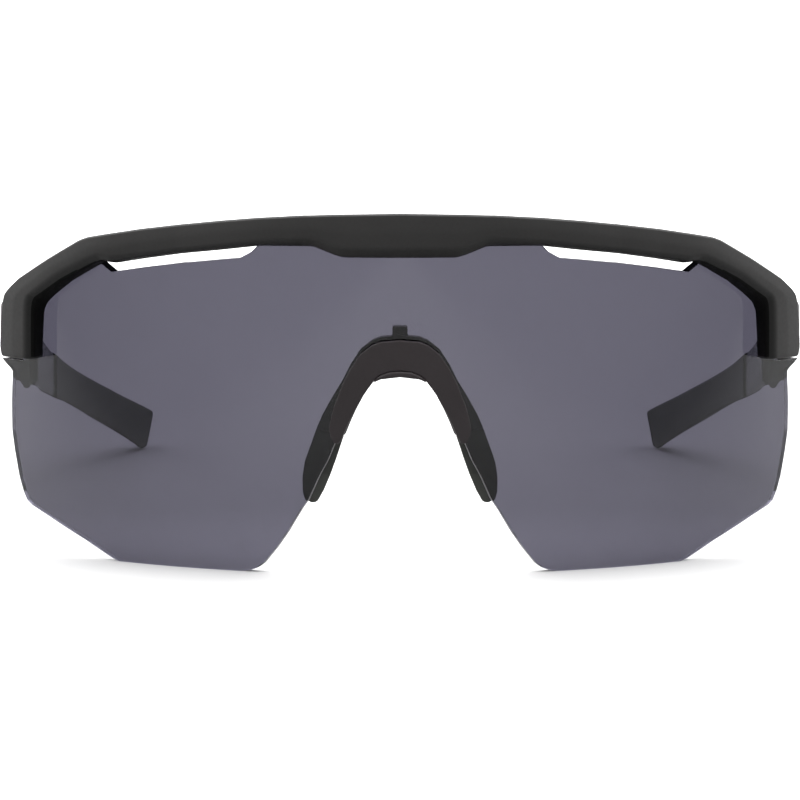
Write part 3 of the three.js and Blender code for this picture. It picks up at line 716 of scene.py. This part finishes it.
LENS_FINISH = tinted_lens()
# Pale rim finish: a painted highlight on the lens rim at the nose and the lug.
RIM_HIGHLIGHT_FINISH = painted_rim_finish("lens_edge_painted_highlight", (0.30, 0.29, 0.31), 0.5)
# Near-black rim finish without reflection: painted shade on the lens rim at the vent tab.
RIM_SHADE_FINISH = painted_rim_finish("lens_edge_painted_shade", (0.006, 0.006, 0.008), 0.0)


# ---- shield lens --------------------------------------------------------------------------------

def lens_outline():
    side = LENS_TOP + LENS_LOW[::-1]
    right = [p for p in side if p[0] >= 0]
    left = [(-s, z) for s, z in right[::-1] if s > 0]
    return right + left


def lens_space(name, gap, front, back):
    """The room that the shield takes, with a gap all round, to cut from what holds it."""
    outline = inset(rounded(lens_outline(), 0.1, 1), -gap)
    return face_plate(name, [(back, outline), (front, outline)])


def shield():
    outline = rounded(lens_outline(), 0.3, 3)
    edge, half, face = (inset(outline, LENS_RIM * share) for share in (0.0, 0.3, 1.0))
    mesh = face_plate("shield", [
        (-LENS_THICK, face), (-LENS_THICK + LENS_RIM * 0.3, half), (-LENS_THICK + LENS_RIM, edge),
        (-LENS_RIM, edge), (-LENS_RIM * 0.3, half), (0, face),
    ])
    piece = finished("shield", mesh, "front", ["shield_lens"], LENS_FINISH, angle=18)
    # The rim at the nose and the lug gets a pale painted highlight, the rim at the vent tab near-black
    # painted shade.
    mesh.materials.append(RIM_HIGHLIGHT_FINISH)
    mesh.materials.append(RIM_SHADE_FINISH)
    for face in mesh.polygons:
        face.material_index = edge_kind(*unwrap(face.center))
    return piece


def edge_kind(s, z, t):
    """Which finish a spot on the shield takes: clear, rim with a painted highlight, or rim with painted
    shade.
    """
    side = abs(s)
    on_rim = SKIN < -t < LENS_THICK - SKIN
    at_nose = side < NOSE_GLINT_REACH and z < NOSE_GLINT_TOP
    at_lug = side > LUG_FROM and z > LUG_LOW
    at_vent_tab = VENT_TAB_FROM < side < VENT_TAB_TO and z > VENT_TAB_LOW
    if on_rim and (at_nose or at_lug):
        return 1
    return 2 if on_rim and at_vent_tab else 0


# ---- brow frame ---------------------------------------------------------------------------------

RIBBON_STEP = 0.5
FOOT_EASE = ((0.06, 0.22), (0.2, 0.38), (0.42, 0.46))


def brow_rows():
    """Stations along the ribbon, close together, with their corners eased."""
    rows = []
    for a, b in zip(BROW_STATIONS, BROW_STATIONS[1:]):
        flat_a = [*a[0], *a[1], *a[2], *a[3:]]
        flat_b = [*b[0], *b[1], *b[2], *b[3:]]
        length = math.dist(a[0], b[0])
        count = max(1, round(length / RIBBON_STEP))
        for k in range(count):
            rows.append([x + (y - x) * k / count for x, y in zip(flat_a, flat_b)])
    last = BROW_STATIONS[-1]
    rows.append([*last[0], *last[1], *last[2], *last[3:]])
    inner = [
        [(p + 2 * q + r) / 4 for p, q, r in zip(*rows[i - 1:i + 2])] for i in range(1, len(rows) - 1)
    ]
    return [rows[0], *inner, rows[-1]]


def brow_ring(row, shrink=0.0, drop=0.0):
    """One section of the ribbon as (s, z, t) points, from the seat round to the back."""
    outer, low, seat = Vector(row[0:2]), Vector(row[2:4]), Vector(row[4:6])
    front, eased = row[6], row[7]
    across = outer - low
    span = across.length
    across.normalize()
    sink = seat - low
    base = sink.dot(across)
    soft = 0.5 + 0.55 * (front - BROW_PROUD)
    behind = 1.35 * (front - BROW_PROUD)
    slope = 0.7 * max(0.0, across.y)
    corners = [
        (base, 0.2, 0.12), (0, front - eased * 0.9, soft), (eased, front, 1.7),
        (span * 0.55, front + 0.1, 8.0), (span - 0.3, front - 0.08, 0.35),
        (span, front - 0.5, 0.35), (span - 0.3 - slope, -3.2, 0.5),
        (span - 1.1 - slope, FRAME_BACK, 0.5),
        (base + 1.3 + behind, FRAME_BACK, 0.5), (base + 0.6 + behind, -3.3, 0.4),
    ]
    flat = rounded([(d, t) for d, t, _ in corners], [r for _, _, r in corners], 6)
    side = sink - across * base
    middle = (span / 2, (front + FRAME_BACK) / 2)
    points = []
    for d, t in flat:
        share = max(0.0, min(1.0, (front - t) / (front - 0.2))) * max(0.0, 1 - d / span)
        if shrink:
            d += math.copysign(min(shrink, abs(d - middle[0])), middle[0] - d)
            t += math.copysign(min(shrink, abs(t - middle[1])), middle[1] - t)
        at = low + across * d + side * share
        points.append((at.x, at.y - drop, t))
    return points


def brow_ribbon():
    """The brow from one end plate's foot to the other's, each foot closed by smaller sections."""
    rows = brow_rows()
    half = [brow_ring(row) for row in rows]
    for shrink, drop in FOOT_EASE:
        half.append(brow_ring(rows[-1], shrink, drop))
    other = [[(-s, z, t) for s, z, t in ring] for ring in half[:0:-1]]
    rings = [[wrap(*p) for p in ring] for ring in other + half]
    return loft("ribbon", rings)


def cheek():
    """The outer wall that runs back from an end plate to the temple."""
    starts, ends = [(0, 0.3)], [(0.1, 0.1), (0, 0.25)]
    rings = []
    for y, ease in eased_places(CHEEK_FROM, CHEEK_TO, 0.8, starts, ends, (0.4, 0.3)):
        low, high = CHEEK_LOW + ease, flowing(CHEEK_TOP, y) - ease
        x0, x1 = along(CHEEK_INNER, y) + ease, flowing(CHEEK_OUTER, y) - ease
        rings.append(section((y, low), (y, high), x0, x1, 0.55, crown=0.12))
    return loft("cheek", rings)


def hinge_arc(first, steps):
    """Half a turn of points round the hinge axis, at the radius of an ear."""
    angles = [first + math.pi * k / steps for k in range(steps + 1)]
    return [
        (HINGE_X + EAR_RADIUS * math.cos(angle), HINGE_Y + SHIFT + EAR_RADIUS * math.sin(angle))
        for angle in angles
    ]


def hinge_block():
    """The block behind an end plate, with the two ears that hold the screw."""
    starts, ends = [(0, 0.3)], [(0.1, 0.1), (0, 0.3)]
    rings = []
    for y, ease in eased_places(BLOCK_FROM, BLOCK_TO, 0.8, starts, ends, (0.4, 0.3)):
        low, high = LOWER_EAR[0] + ease, along(BLOCK_TOP, y) - ease
        x0, x1 = along(BLOCK_INNER, y) + ease, along(BLOCK_OUTER, y) - ease
        rings.append(section((y, low), (y, high), x0, x1, 0.7))
    foot = [(HINGE_X - EAR_RADIUS, EAR_FOOT + SHIFT), (HINGE_X + EAR_RADIUS, EAR_FOOT + SHIFT)]
    ears = [
        prism("ear", hinge_arc(0, 24) + foot, low, high, 0.22) for low, high in (LOWER_EAR, UPPER_EAR)
    ]
    gap = prism("gap", box_outline(*KNUCKLE_ROOM), LOWER_EAR[1], UPPER_EAR[0], 0.02)
    return cut(joined(loft("block", rings), *ears, turned("boss", BOSS_PROFILE)), gap)


def box_outline(x0, x1, y0, y1):
    return [(x0, y0 + SHIFT), (x1, y0 + SHIFT), (x1, y1 + SHIFT), (x0, y1 + SHIFT)]


def rod(radius, low, high, side=1):
    """A plain rod on one hinge axis, to cut a bore with."""
    outline = [
        (side * HINGE_X + radius * math.cos(a), HINGE_Y + SHIFT + radius * math.sin(a))
        for a in (2 * math.pi * k / 48 for k in range(48))
    ]
    return prism("rod", outline, low, high, 0.01)


def brow_frame():
    front_space = lens_space("front_space", FIT_GAP, 8, -LENS_THICK - FIT_GAP)
    left = cut(joined(hinge_block(), cheek()), front_space)
    seat = lens_space("seat", FIT_GAP, FIT_GAP, -LENS_THICK - FIT_GAP)
    whole = joined(brow_ribbon(), left, mirrored(left))
    whole = cut(whole, seat)
    for side in (1, -1):
        whole = cut(
            whole,
            rod(INSERT_RADIUS + BORE_GAP, LOWER_EAR[0] + 0.05, LOWER_EAR[1] + 0.1, side),
            rod(SCREW_RADIUS + 0.1, UPPER_EAR[0] - 0.1, UPPER_EAR[1] + 1.6, side),
        )
    piece = finished("brow", whole, "front", ["brow_frame"], FRAME_FINISH, angle=30)
    # Inward-facing faces of the wall in front of the shield take the near-black finish, painted shade.
    whole.materials.append(REBATE_SHADE_FINISH)
    for face in whole.polygons:
        face.material_index = int(beside_shield(face))
    return piece


def beside_shield(face):
    """Whether a face belongs to the wall that stands in front of the shield, looking inward; such faces
    take the near-black painted shade.
    """
    s, z, t = unwrap(face.center)
    side = math.copysign(1.0, s)
    angle = s / WRAP_RADIUS
    inward = -side * (face.normal.x * math.cos(angle) + face.normal.y * math.sin(angle))
    facing = max(inward, -face.normal.z if z > 44 else 0.0)
    ahead = 0.1 < t < along(WALL_STAND, abs(s)) - 0.75
    return ahead and abs(s) > WALL_STAND[0][0] and z > BROW_STATIONS[-1][0][1] and facing > 0.3


# ---- nose bridge and pads -----------------------------------------------------------------------

def soft_plate(name, outline, back, front, rim_back, rim_front):
    """A plate on the face with its front and back rims rounded over."""
    layers = []
    for k in range(4):
        turn = math.pi / 2 * k / 3
        layers.append((back + rim_back * (1 - math.cos(turn)), rim_back * (1 - math.sin(turn))))
    for k in range(4):
        turn = math.pi / 2 * k / 3
        layers.append((front - rim_front * (1 - math.sin(turn)), rim_front * (1 - math.cos(turn))))
    return face_plate(name, [(t, inset(outline, d)) for t, d in layers], 1.2, 1.2)


def tang_plate(gap=0.0):
    """The blade on a leg of the bridge that holds a pad; with a gap, the pocket for it."""
    outline = inset(rounded(PAD_TANG, 0.4, 3), -gap)
    layers = [(TANG_BACK - gap, outline), (TANG_FRONT + gap, outline)]
    return face_plate("tang", layers, 1.5, 1.5)


def nose_bridge():
    seam = len(NOSE_OUTER) - 1
    opening = [(s + 0.08 if s > 0 else 0, z + 0.15) for s, z in NOSE_OPENING]
    back = rounded(both_sides(NOSE_OUTER + NOSE_OPENING), seam_radii(seam, NOSE_OPENING, 0.6), 3)
    web = rounded(both_sides(NOSE_WEB + opening), 0.4, 3)
    lip = rounded(both_sides(NOSE_LIP + LIP_OPENING), 0.4, 4)
    arch = joined(
        soft_plate("back", back, -4.6, -LENS_THICK - 0.3, 0.12, 0.05),
        face_plate("web", [(-2.6, web), (0.6, web)], 1.2, 1.2),
        soft_plate("lip", lip, 0.3, 1.35, 0.05, 0.18),
        soft_plate("bead", rounded(both_sides(ARCH_BEAD), 0.2, 3), 0.0, 1.6, 0.05, 0.4),
        tang_plate(), mirrored(tang_plate()),
    )
    return finished("nose_arch", arch, "front", ["nose_bridge"], NOSE_FINISH, angle=34)


def seam_radii(seam, opening, radius):
    """Corner radii for the bridge: small at its top tab and where it meets the pads."""
    count = seam + 1 + len(opening)
    sharp = {1: 0.3, 2: 0.3, seam: SEAM_RADIUS, seam + 1: SEAM_RADIUS}
    half = [sharp.get(k, radius) for k in range(count)]
    return half + [half[k] for k in range(count - 1, -1, -1) if 0 < k < count - 1]


def pad_outline(share, shrink):
    edge = sorted((z, s) for s, z in PAD_OUTER)
    inner = [(s + share * (along(edge, z) - s), z) for s, z in PAD_INNER]
    centre = (15.6, 19.5)
    outline = []
    for s, z in PAD_OUTER + inner:
        own = shrink * min(1.0, max(0.0, (26.4 - z) / 4))
        outline.append((s + (centre[0] - s) * own, z + (centre[1] - z) * own))
    radii = [SEAM_RADIUS, *(1.6 for _ in outline[1:-1]), SEAM_RADIUS]
    return rounded(outline, radii, 4)


def nose_pad():
    """A soft pad: full at the shield, narrower on its inner side and rounded toward the nose."""
    front = -LENS_THICK - 0.4
    layers = [
        (front, 0.0, 0.045), (front - 0.12, 0.0, 0.015), (front - 0.4, 0.01, 0.0),
        (-3.6, 0.08, 0.0), (-4.8, 0.16, 0.0), (-6.0, 0.24, 0.0), (-6.9, 0.30, 0.01),
        (-7.45, 0.34, 0.04), (-7.8, 0.37, 0.1), (-8.0, 0.4, 0.22),
    ]
    rings = [[(s, z, t) for s, z in pad_outline(share, shrink)] for t, share, shrink in layers]
    mesh = loft("pad", rings)
    sliced(mesh, 1, 0.8)
    for v in mesh.vertices:
        v.co = wrap(*v.co)
    return cut(fixed(mesh), tang_plate(PAD_GAP))


# ---- temples ------------------------------------------------------------------------------------

SLEEVE_LOW = [(row[0], row[1]) for row in SLEEVE_SIDE]
SLEEVE_HIGH = [(row[2], row[3]) for row in SLEEVE_SIDE]


def arm_shell():
    first, last = ARM_SIDE[0][0], ARM_SIDE[-1][0]
    starts, ends = [(0, 0.4), (0.15, 0.15)], [(0.15, 0.1), (0, 0.35)]
    rings = []
    for y, ease in eased_places(first, last, 1.2, starts, ends, (0.5, 0.4)):
        inner = flowing(INNER_FACE, y)
        outer = inner + flowing(ARM_THICK, y)
        low, high = flowing(ARM_SIDE, y, 1) + ease, flowing(ARM_SIDE, y, 2) - ease
        sides = (inner + ease, outer - ease)
        rings.append(section((y, low), (y, high), *sides, 1.7, 1.0, crown=0.25, rise=TEMPLE_RISE))
    return loft("arm", rings)


def tang(gap=0.0):
    """The tongue at the end of an arm; with a gap, the pocket for it in the sleeve."""
    rings = []
    for y in spread(TANG_FROM, TANG_TO + gap, 1.6):
        middle = flowing(INNER_FACE, y) + MIDDLE_OF_ARM
        half = TANG_THICK / 2 + gap
        low = along(SLEEVE_LOW, y) + TANG_UNDER - gap
        high = along(SLEEVE_HIGH, y) - TANG_OVER + gap
        rings.append(section((y, low), (y, high), middle - half, middle + half, 0.5))
    return loft("tang", rings)


def core(gap=0.0):
    """The steel strip inside a temple; with a gap, the slot for it."""
    rings = []
    for y in spread(CORE_FROM - gap, CORE_TO + gap, 2.0):
        middle = flowing(INNER_FACE, y) + MIDDLE_OF_ARM
        climb = max(0.0, CORE_CLIMB_BEFORE - y) * CORE_CLIMB
        height = (along(SLEEVE_LOW, y) + along(SLEEVE_HIGH, y)) / 2 + climb
        half, tall = CORE_THICK / 2 + gap, CORE_HEIGHT / 2 + gap
        rings.append(section((y, height - tall), (y, height + tall), middle - half, middle + half, 0.3))
    return loft("core", rings)


def temple_nose():
    """The outer cover at the front of a temple, which closes against the cheek."""
    rings = []
    for y, ease in eased_places(COVER_FROM, COVER_TO, 0.8, [(0, 0.3), (0.1, 0.1)], [], (0.4, 0)):
        low, top = COVER_LOW + ease, COVER_HIGH - (y - COVER_FROM) * 0.22 - ease
        inner, side = COVER_INNER + ease, flowing(COVER_OUTER, y) - ease
        corners = [
            (inner, low), (COVER_INNER + 0.45, low), (side, low + 4.2), (side + 0.1, 39.0),
            (side, top), (inner, top),
        ]
        flat = rounded(corners, [0.15, 0.3, 1.0, 8.0, 0.55, 0.3], 6)
        rings.append([(x, y + SHIFT, z) for x, z in flat])
    return loft("temple_nose", rings)


def knuckle():
    root = 45 + SHIFT
    outline = [*hinge_arc(math.pi, 32), (HINGE_X + EAR_RADIUS, root), (HINGE_X - 1.9, root)]
    return prism("knuckle", outline, *KNUCKLE, 0.22)


def temple_arm():
    whole = joined(arm_shell(), temple_nose(), knuckle(), tang())
    return cut(whole, rod(BUSH_RADIUS + BORE_GAP, 30, 44), core(SLEEVE_GAP))


def sleeve_row(share):
    """The sleeve's underside and top points at a share of its length."""
    marks = [(i / (len(SLEEVE_SIDE) - 1), *row) for i, row in enumerate(SLEEVE_SIDE)]
    return [flowing(marks, share, column) for column in (1, 2, 3, 4)]


def temple_tip():
    """The rubber sleeve; its end leans inward and its underside climbs more there."""
    rings = []
    count = 90
    for k in range(count + 1):
        y0, z0, y1, z1 = sleeve_row(k / count)
        y = (y0 + y1) / 2
        ease = 0.45 * max(0.0, 1 - k * 0.5) ** 2 + 0.4 * max(0.0, 1 - (count - k) * 0.35) ** 2
        inner = flowing(INNER_FACE, y) - 0.35
        outer = inner + flowing(SLEEVE_THICK, y)
        low, high = (y0, max(z0, 0.0) + ease * 0.3), (y1, z1 - ease * 0.6)
        sides = (inner + ease, outer - ease)
        end = max(0.0, (y - TIP_FROM) / TIP_LENGTH)
        rise, lean = TEMPLE_RISE + TIP_RISE * end, TIP_LEAN * end ** 2
        rings.append(section(low, high, *sides, 2.0, 1.2, crown=0.15, rise=rise, lean=lean))
    return cut(loft("sleeve", rings), tang(SLEEVE_GAP), core(SLEEVE_GAP))


# ---- hinge hardware -----------------------------------------------------------------------------

def hinge_screw():
    top = UPPER_EAR[1] + 0.05
    profile = [
        (0.02, 31.6), (SCREW_RADIUS - 0.15, 31.6), (SCREW_RADIUS, 31.9), (SCREW_RADIUS, top),
        (SCREW_HEAD_RADIUS - 0.05, top), (SCREW_HEAD_RADIUS, top + 0.06),
        (SCREW_HEAD_RADIUS, top + 0.45), (SCREW_HEAD_RADIUS - 0.12, top + 0.68),
        (SCREW_HEAD_RADIUS - 0.4, top + 0.85), (SCREW_HEAD_RADIUS - 0.8, top + 0.93), (0.02, top + 0.95),
    ]
    slot = prism("slot", box_outline(HINGE_X - 2, HINGE_X + 2, HINGE_Y - 0.18, HINGE_Y + 0.18),
                 top + 0.5, top + 2, 0.01)
    return cut(turned("screw", profile), slot)


def ring(name, inner, outer, low, high, bevel=0.06):
    profile = [
        (inner, low + bevel), (inner + bevel, low), (outer - bevel, low), (outer, low + bevel),
        (outer, high - bevel), (outer - bevel, high), (inner + bevel, high), (inner, high - bevel),
    ]
    return turned(name, profile)


def hinge_ring(radius, span):
    """A brass sleeve round the screw, a little shorter than the ear or knuckle that holds it."""
    return ring("sleeve", SCREW_RADIUS + SCREW_GAP, radius, span[0] + END_PLAY, span[1] - END_PLAY)


# ---- assembly -----------------------------------------------------------------------------------

def pair(name, mesh, bodies, node_name, finish, angle=32):
    """A piece for the left and its mirror image for the right, each on its own body."""
    twin = mirrored(mesh)
    made = []
    for side, side_mesh in (("left", mesh), ("right", twin)):
        body = bodies if bodies == "front" else f"{bodies}_{side}"
        made.append(finished(f"{name}_{side}", side_mesh, body, [f"{node_name}_{side}"], finish, angle))
    return made


def build():
    shield()
    brow_frame()
    nose_bridge()
    for pad in pair("soft_pad", nose_pad(), "front", "nose_pad", PAD_FINISH, 50):
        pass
    pair("arm", temple_arm(), "temple", "temple_arm", TEMPLE_FINISH)
    pair("sleeve", temple_tip(), "temple", "temple_tip", SLEEVE_FINISH, 40)
    pair("core", core(), "temple", "temple_core", STEEL_FINISH)
    pair("screw", hinge_screw(), "front", "hinge_screw", STEEL_FINISH)
    pair("insert", hinge_ring(INSERT_RADIUS, LOWER_EAR), "front", "hinge_insert", BRASS_FINISH)
    pair("bush", hinge_ring(BUSH_RADIUS, KNUCKLE), "temple", "hinge_bush", BRASS_FINISH)
    washers()


def washers():
    """The four washers, each on the body that the frame gives it."""
    bodies = frame["record"]["behaviour"]["bodies"]
    for place, base in (("lower", LOWER_EAR[1]), ("upper", KNUCKLE[1])):
        low = base + WASHER_LIFT
        washer = ring(place, SCREW_RADIUS + SCREW_GAP, WASHER_RADIUS, low, low + WASHER_THICK)
        for piece, side in zip((washer, mirrored(washer)), ("left", "right")):
            node_name = f"hinge_washer_{place}_{side}"
            body = next(b for b, members in bodies.items() if node_name in members)
            finished(f"washer_{place}_{side}", piece, body, [node_name], WASHER_FINISH)


# ---- studio -------------------------------------------------------------------------------------

WORLD_FRONT, WORLD_SIDES = 0.25, 1.9
WORLD_TURN = (-0.85, -0.05)
OVERHEAD_WATTS = 30
OVERHEAD_SIZE = 2.4
OVERHEAD_PLACE = (0, 0.3, 1.6)

FLOOR_REACH = 12.0
FLOOR_FADE = (0.25, 0.9)
# Painted light on the floor: the tone it passes on as bounced light is dimmer than the tone it shows,
# brighter down the middle and behind the object, and the floor seen through the lens is lighter near the
# shield, where the object's shadow falls.
FLOOR_WHITE = 0.86
FLOOR_THROUGH_LENS = (0.56, 0.78)
FLOOR_THROUGH_TURN = (-0.07, 0.0)
FLOOR_BOUNCE = 0.16
FLOOR_BOUNCE_AHEAD = 0.28
FLOOR_AHEAD_TURN = (0.05, 0.12)
FLOOR_BOUNCE_BEHIND = 0.48
FLOOR_BEHIND_TURN = (-0.105, -0.045)

CAMERA_DISTANCE = 0.85
CAMERA_PITCH = 7.5
CAMERA_LENS = 219.2
CAMERA_AIM = (0, SHIFT * MM, 0.0314)


def studio():
    """A white floor and surroundings; what lights the object is darker in front than at the sides."""
    floor_mesh = bpy.data.meshes.new("floor")
    corners = [(x * FLOOR_REACH, y * FLOOR_REACH, 0) for x, y in ((-1, -1), (1, -1), (1, 1), (-1, 1))]
    floor_mesh.from_pydata(corners, [], [(0, 1, 2, 3)])
    floor_mesh.materials.append(floor_finish())
    floor = bpy.data.objects.new("floor", floor_mesh)
    bpy.context.scene.collection.objects.link(floor)
    surroundings()
    overhead()


def surroundings():
    world = bpy.data.worlds.new("studio")
    bpy.context.scene.world = world
    world.use_nodes = True
    tree = world.node_tree
    direction = node(tree, "ShaderNodeTexCoord").outputs["Generated"]
    soft = ranged(tree, split(tree, direction)["Y"], WORLD_FRONT, WORLD_SIDES, *WORLD_TURN)
    seen = node(tree, "ShaderNodeLightPath").outputs["Is Camera Ray"]
    background = tree.nodes["Background"]
    tree.links.new(maths(tree, "MAXIMUM", soft, seen), background.inputs["Strength"])
    background.inputs["Color"].default_value = (1, 1, 1, 1)


def overhead():
    data = bpy.data.lights.new("overhead", "AREA")
    data.shape = "SQUARE"
    data.size = OVERHEAD_SIZE
    data.energy = OVERHEAD_WATTS
    lamp = bpy.data.objects.new("overhead", data)
    aimed(lamp, Vector(OVERHEAD_PLACE), Vector((0, 0, 0.03)))


def floor_finish():
    """Matte white that fades into the white surroundings with distance, with painted light in its tones.
    """
    material, tree, surface, at = shader("studio_floor")
    surface.inputs["Roughness"].default_value = 0.9
    surface.inputs["Specular IOR Level"].default_value = 0.0
    path = node(tree, "ShaderNodeLightPath").outputs
    bounce = maths(tree, "MAXIMUM", path["Is Diffuse Ray"], path["Is Glossy Ray"])
    place = split(tree, at)
    # Painted light: bounced light from the floor is dimmer than its seen white, with a brighter strip
    # down the middle and a brighter patch behind the object.
    ahead = ranged(tree, maths(tree, "ABSOLUTE", place["X"]), 1, 0, *FLOOR_AHEAD_TURN)
    bounced = mixed(tree, ahead, (FLOOR_BOUNCE,) * 3, (FLOOR_BOUNCE_AHEAD,) * 3)
    behind = ranged(tree, place["Y"], 0, 1, *FLOOR_BEHIND_TURN)
    bounced = mixed(tree, behind, bounced, (FLOOR_BOUNCE_BEHIND,) * 3)
    direct = mixed(tree, bounce, (FLOOR_WHITE,) * 3, bounced)
    # Painted light: seen through the lens, the floor is lighter near the shield, in place of the shadow
    # there.
    close = ranged(tree, place["Y"], 1, 0, *FLOOR_THROUGH_TURN)
    seen = mixed(tree, close, *((tone,) * 3 for tone in FLOOR_THROUGH_LENS))
    tone = mixed(tree, path["Is Transmission Ray"], direct, seen)
    tree.links.new(tone, surface.inputs["Base Color"])
    distance = node(tree, "ShaderNodeVectorMath", operation="LENGTH")
    tree.links.new(at, distance.inputs[0])
    away = ranged(tree, distance.outputs["Value"], 0, 1, *FLOOR_FADE)
    glow = maths(tree, "MULTIPLY", away, ranged(tree, bounce, 1, 0, 0, 1))
    surface.inputs["Emission Color"].default_value = (1, 1, 1, 1)
    tree.links.new(glow, surface.inputs["Emission Strength"])
    return material


def aimed(thing, place, target):
    """Puts a lamp or a camera in the scene, looking at a target."""
    thing.location = place
    thing.rotation_euler = (target - place).to_track_quat("-Z", "Y").to_euler()
    bpy.context.scene.collection.objects.link(thing)


def camera():
    data = bpy.data.cameras.new("camera")
    data.sensor_width = 36.0
    data.lens = CAMERA_LENS
    eye = bpy.data.objects.new("camera", data)
    pitch = math.radians(CAMERA_PITCH)
    back = Vector((0, -math.cos(pitch), math.sin(pitch))) * CAMERA_DISTANCE
    aimed(eye, Vector(CAMERA_AIM) + back, Vector(CAMERA_AIM))
    bpy.context.scene.camera = eye


build()
studio()
camera()
bpy.context.scene.view_settings.view_transform = "Standard"
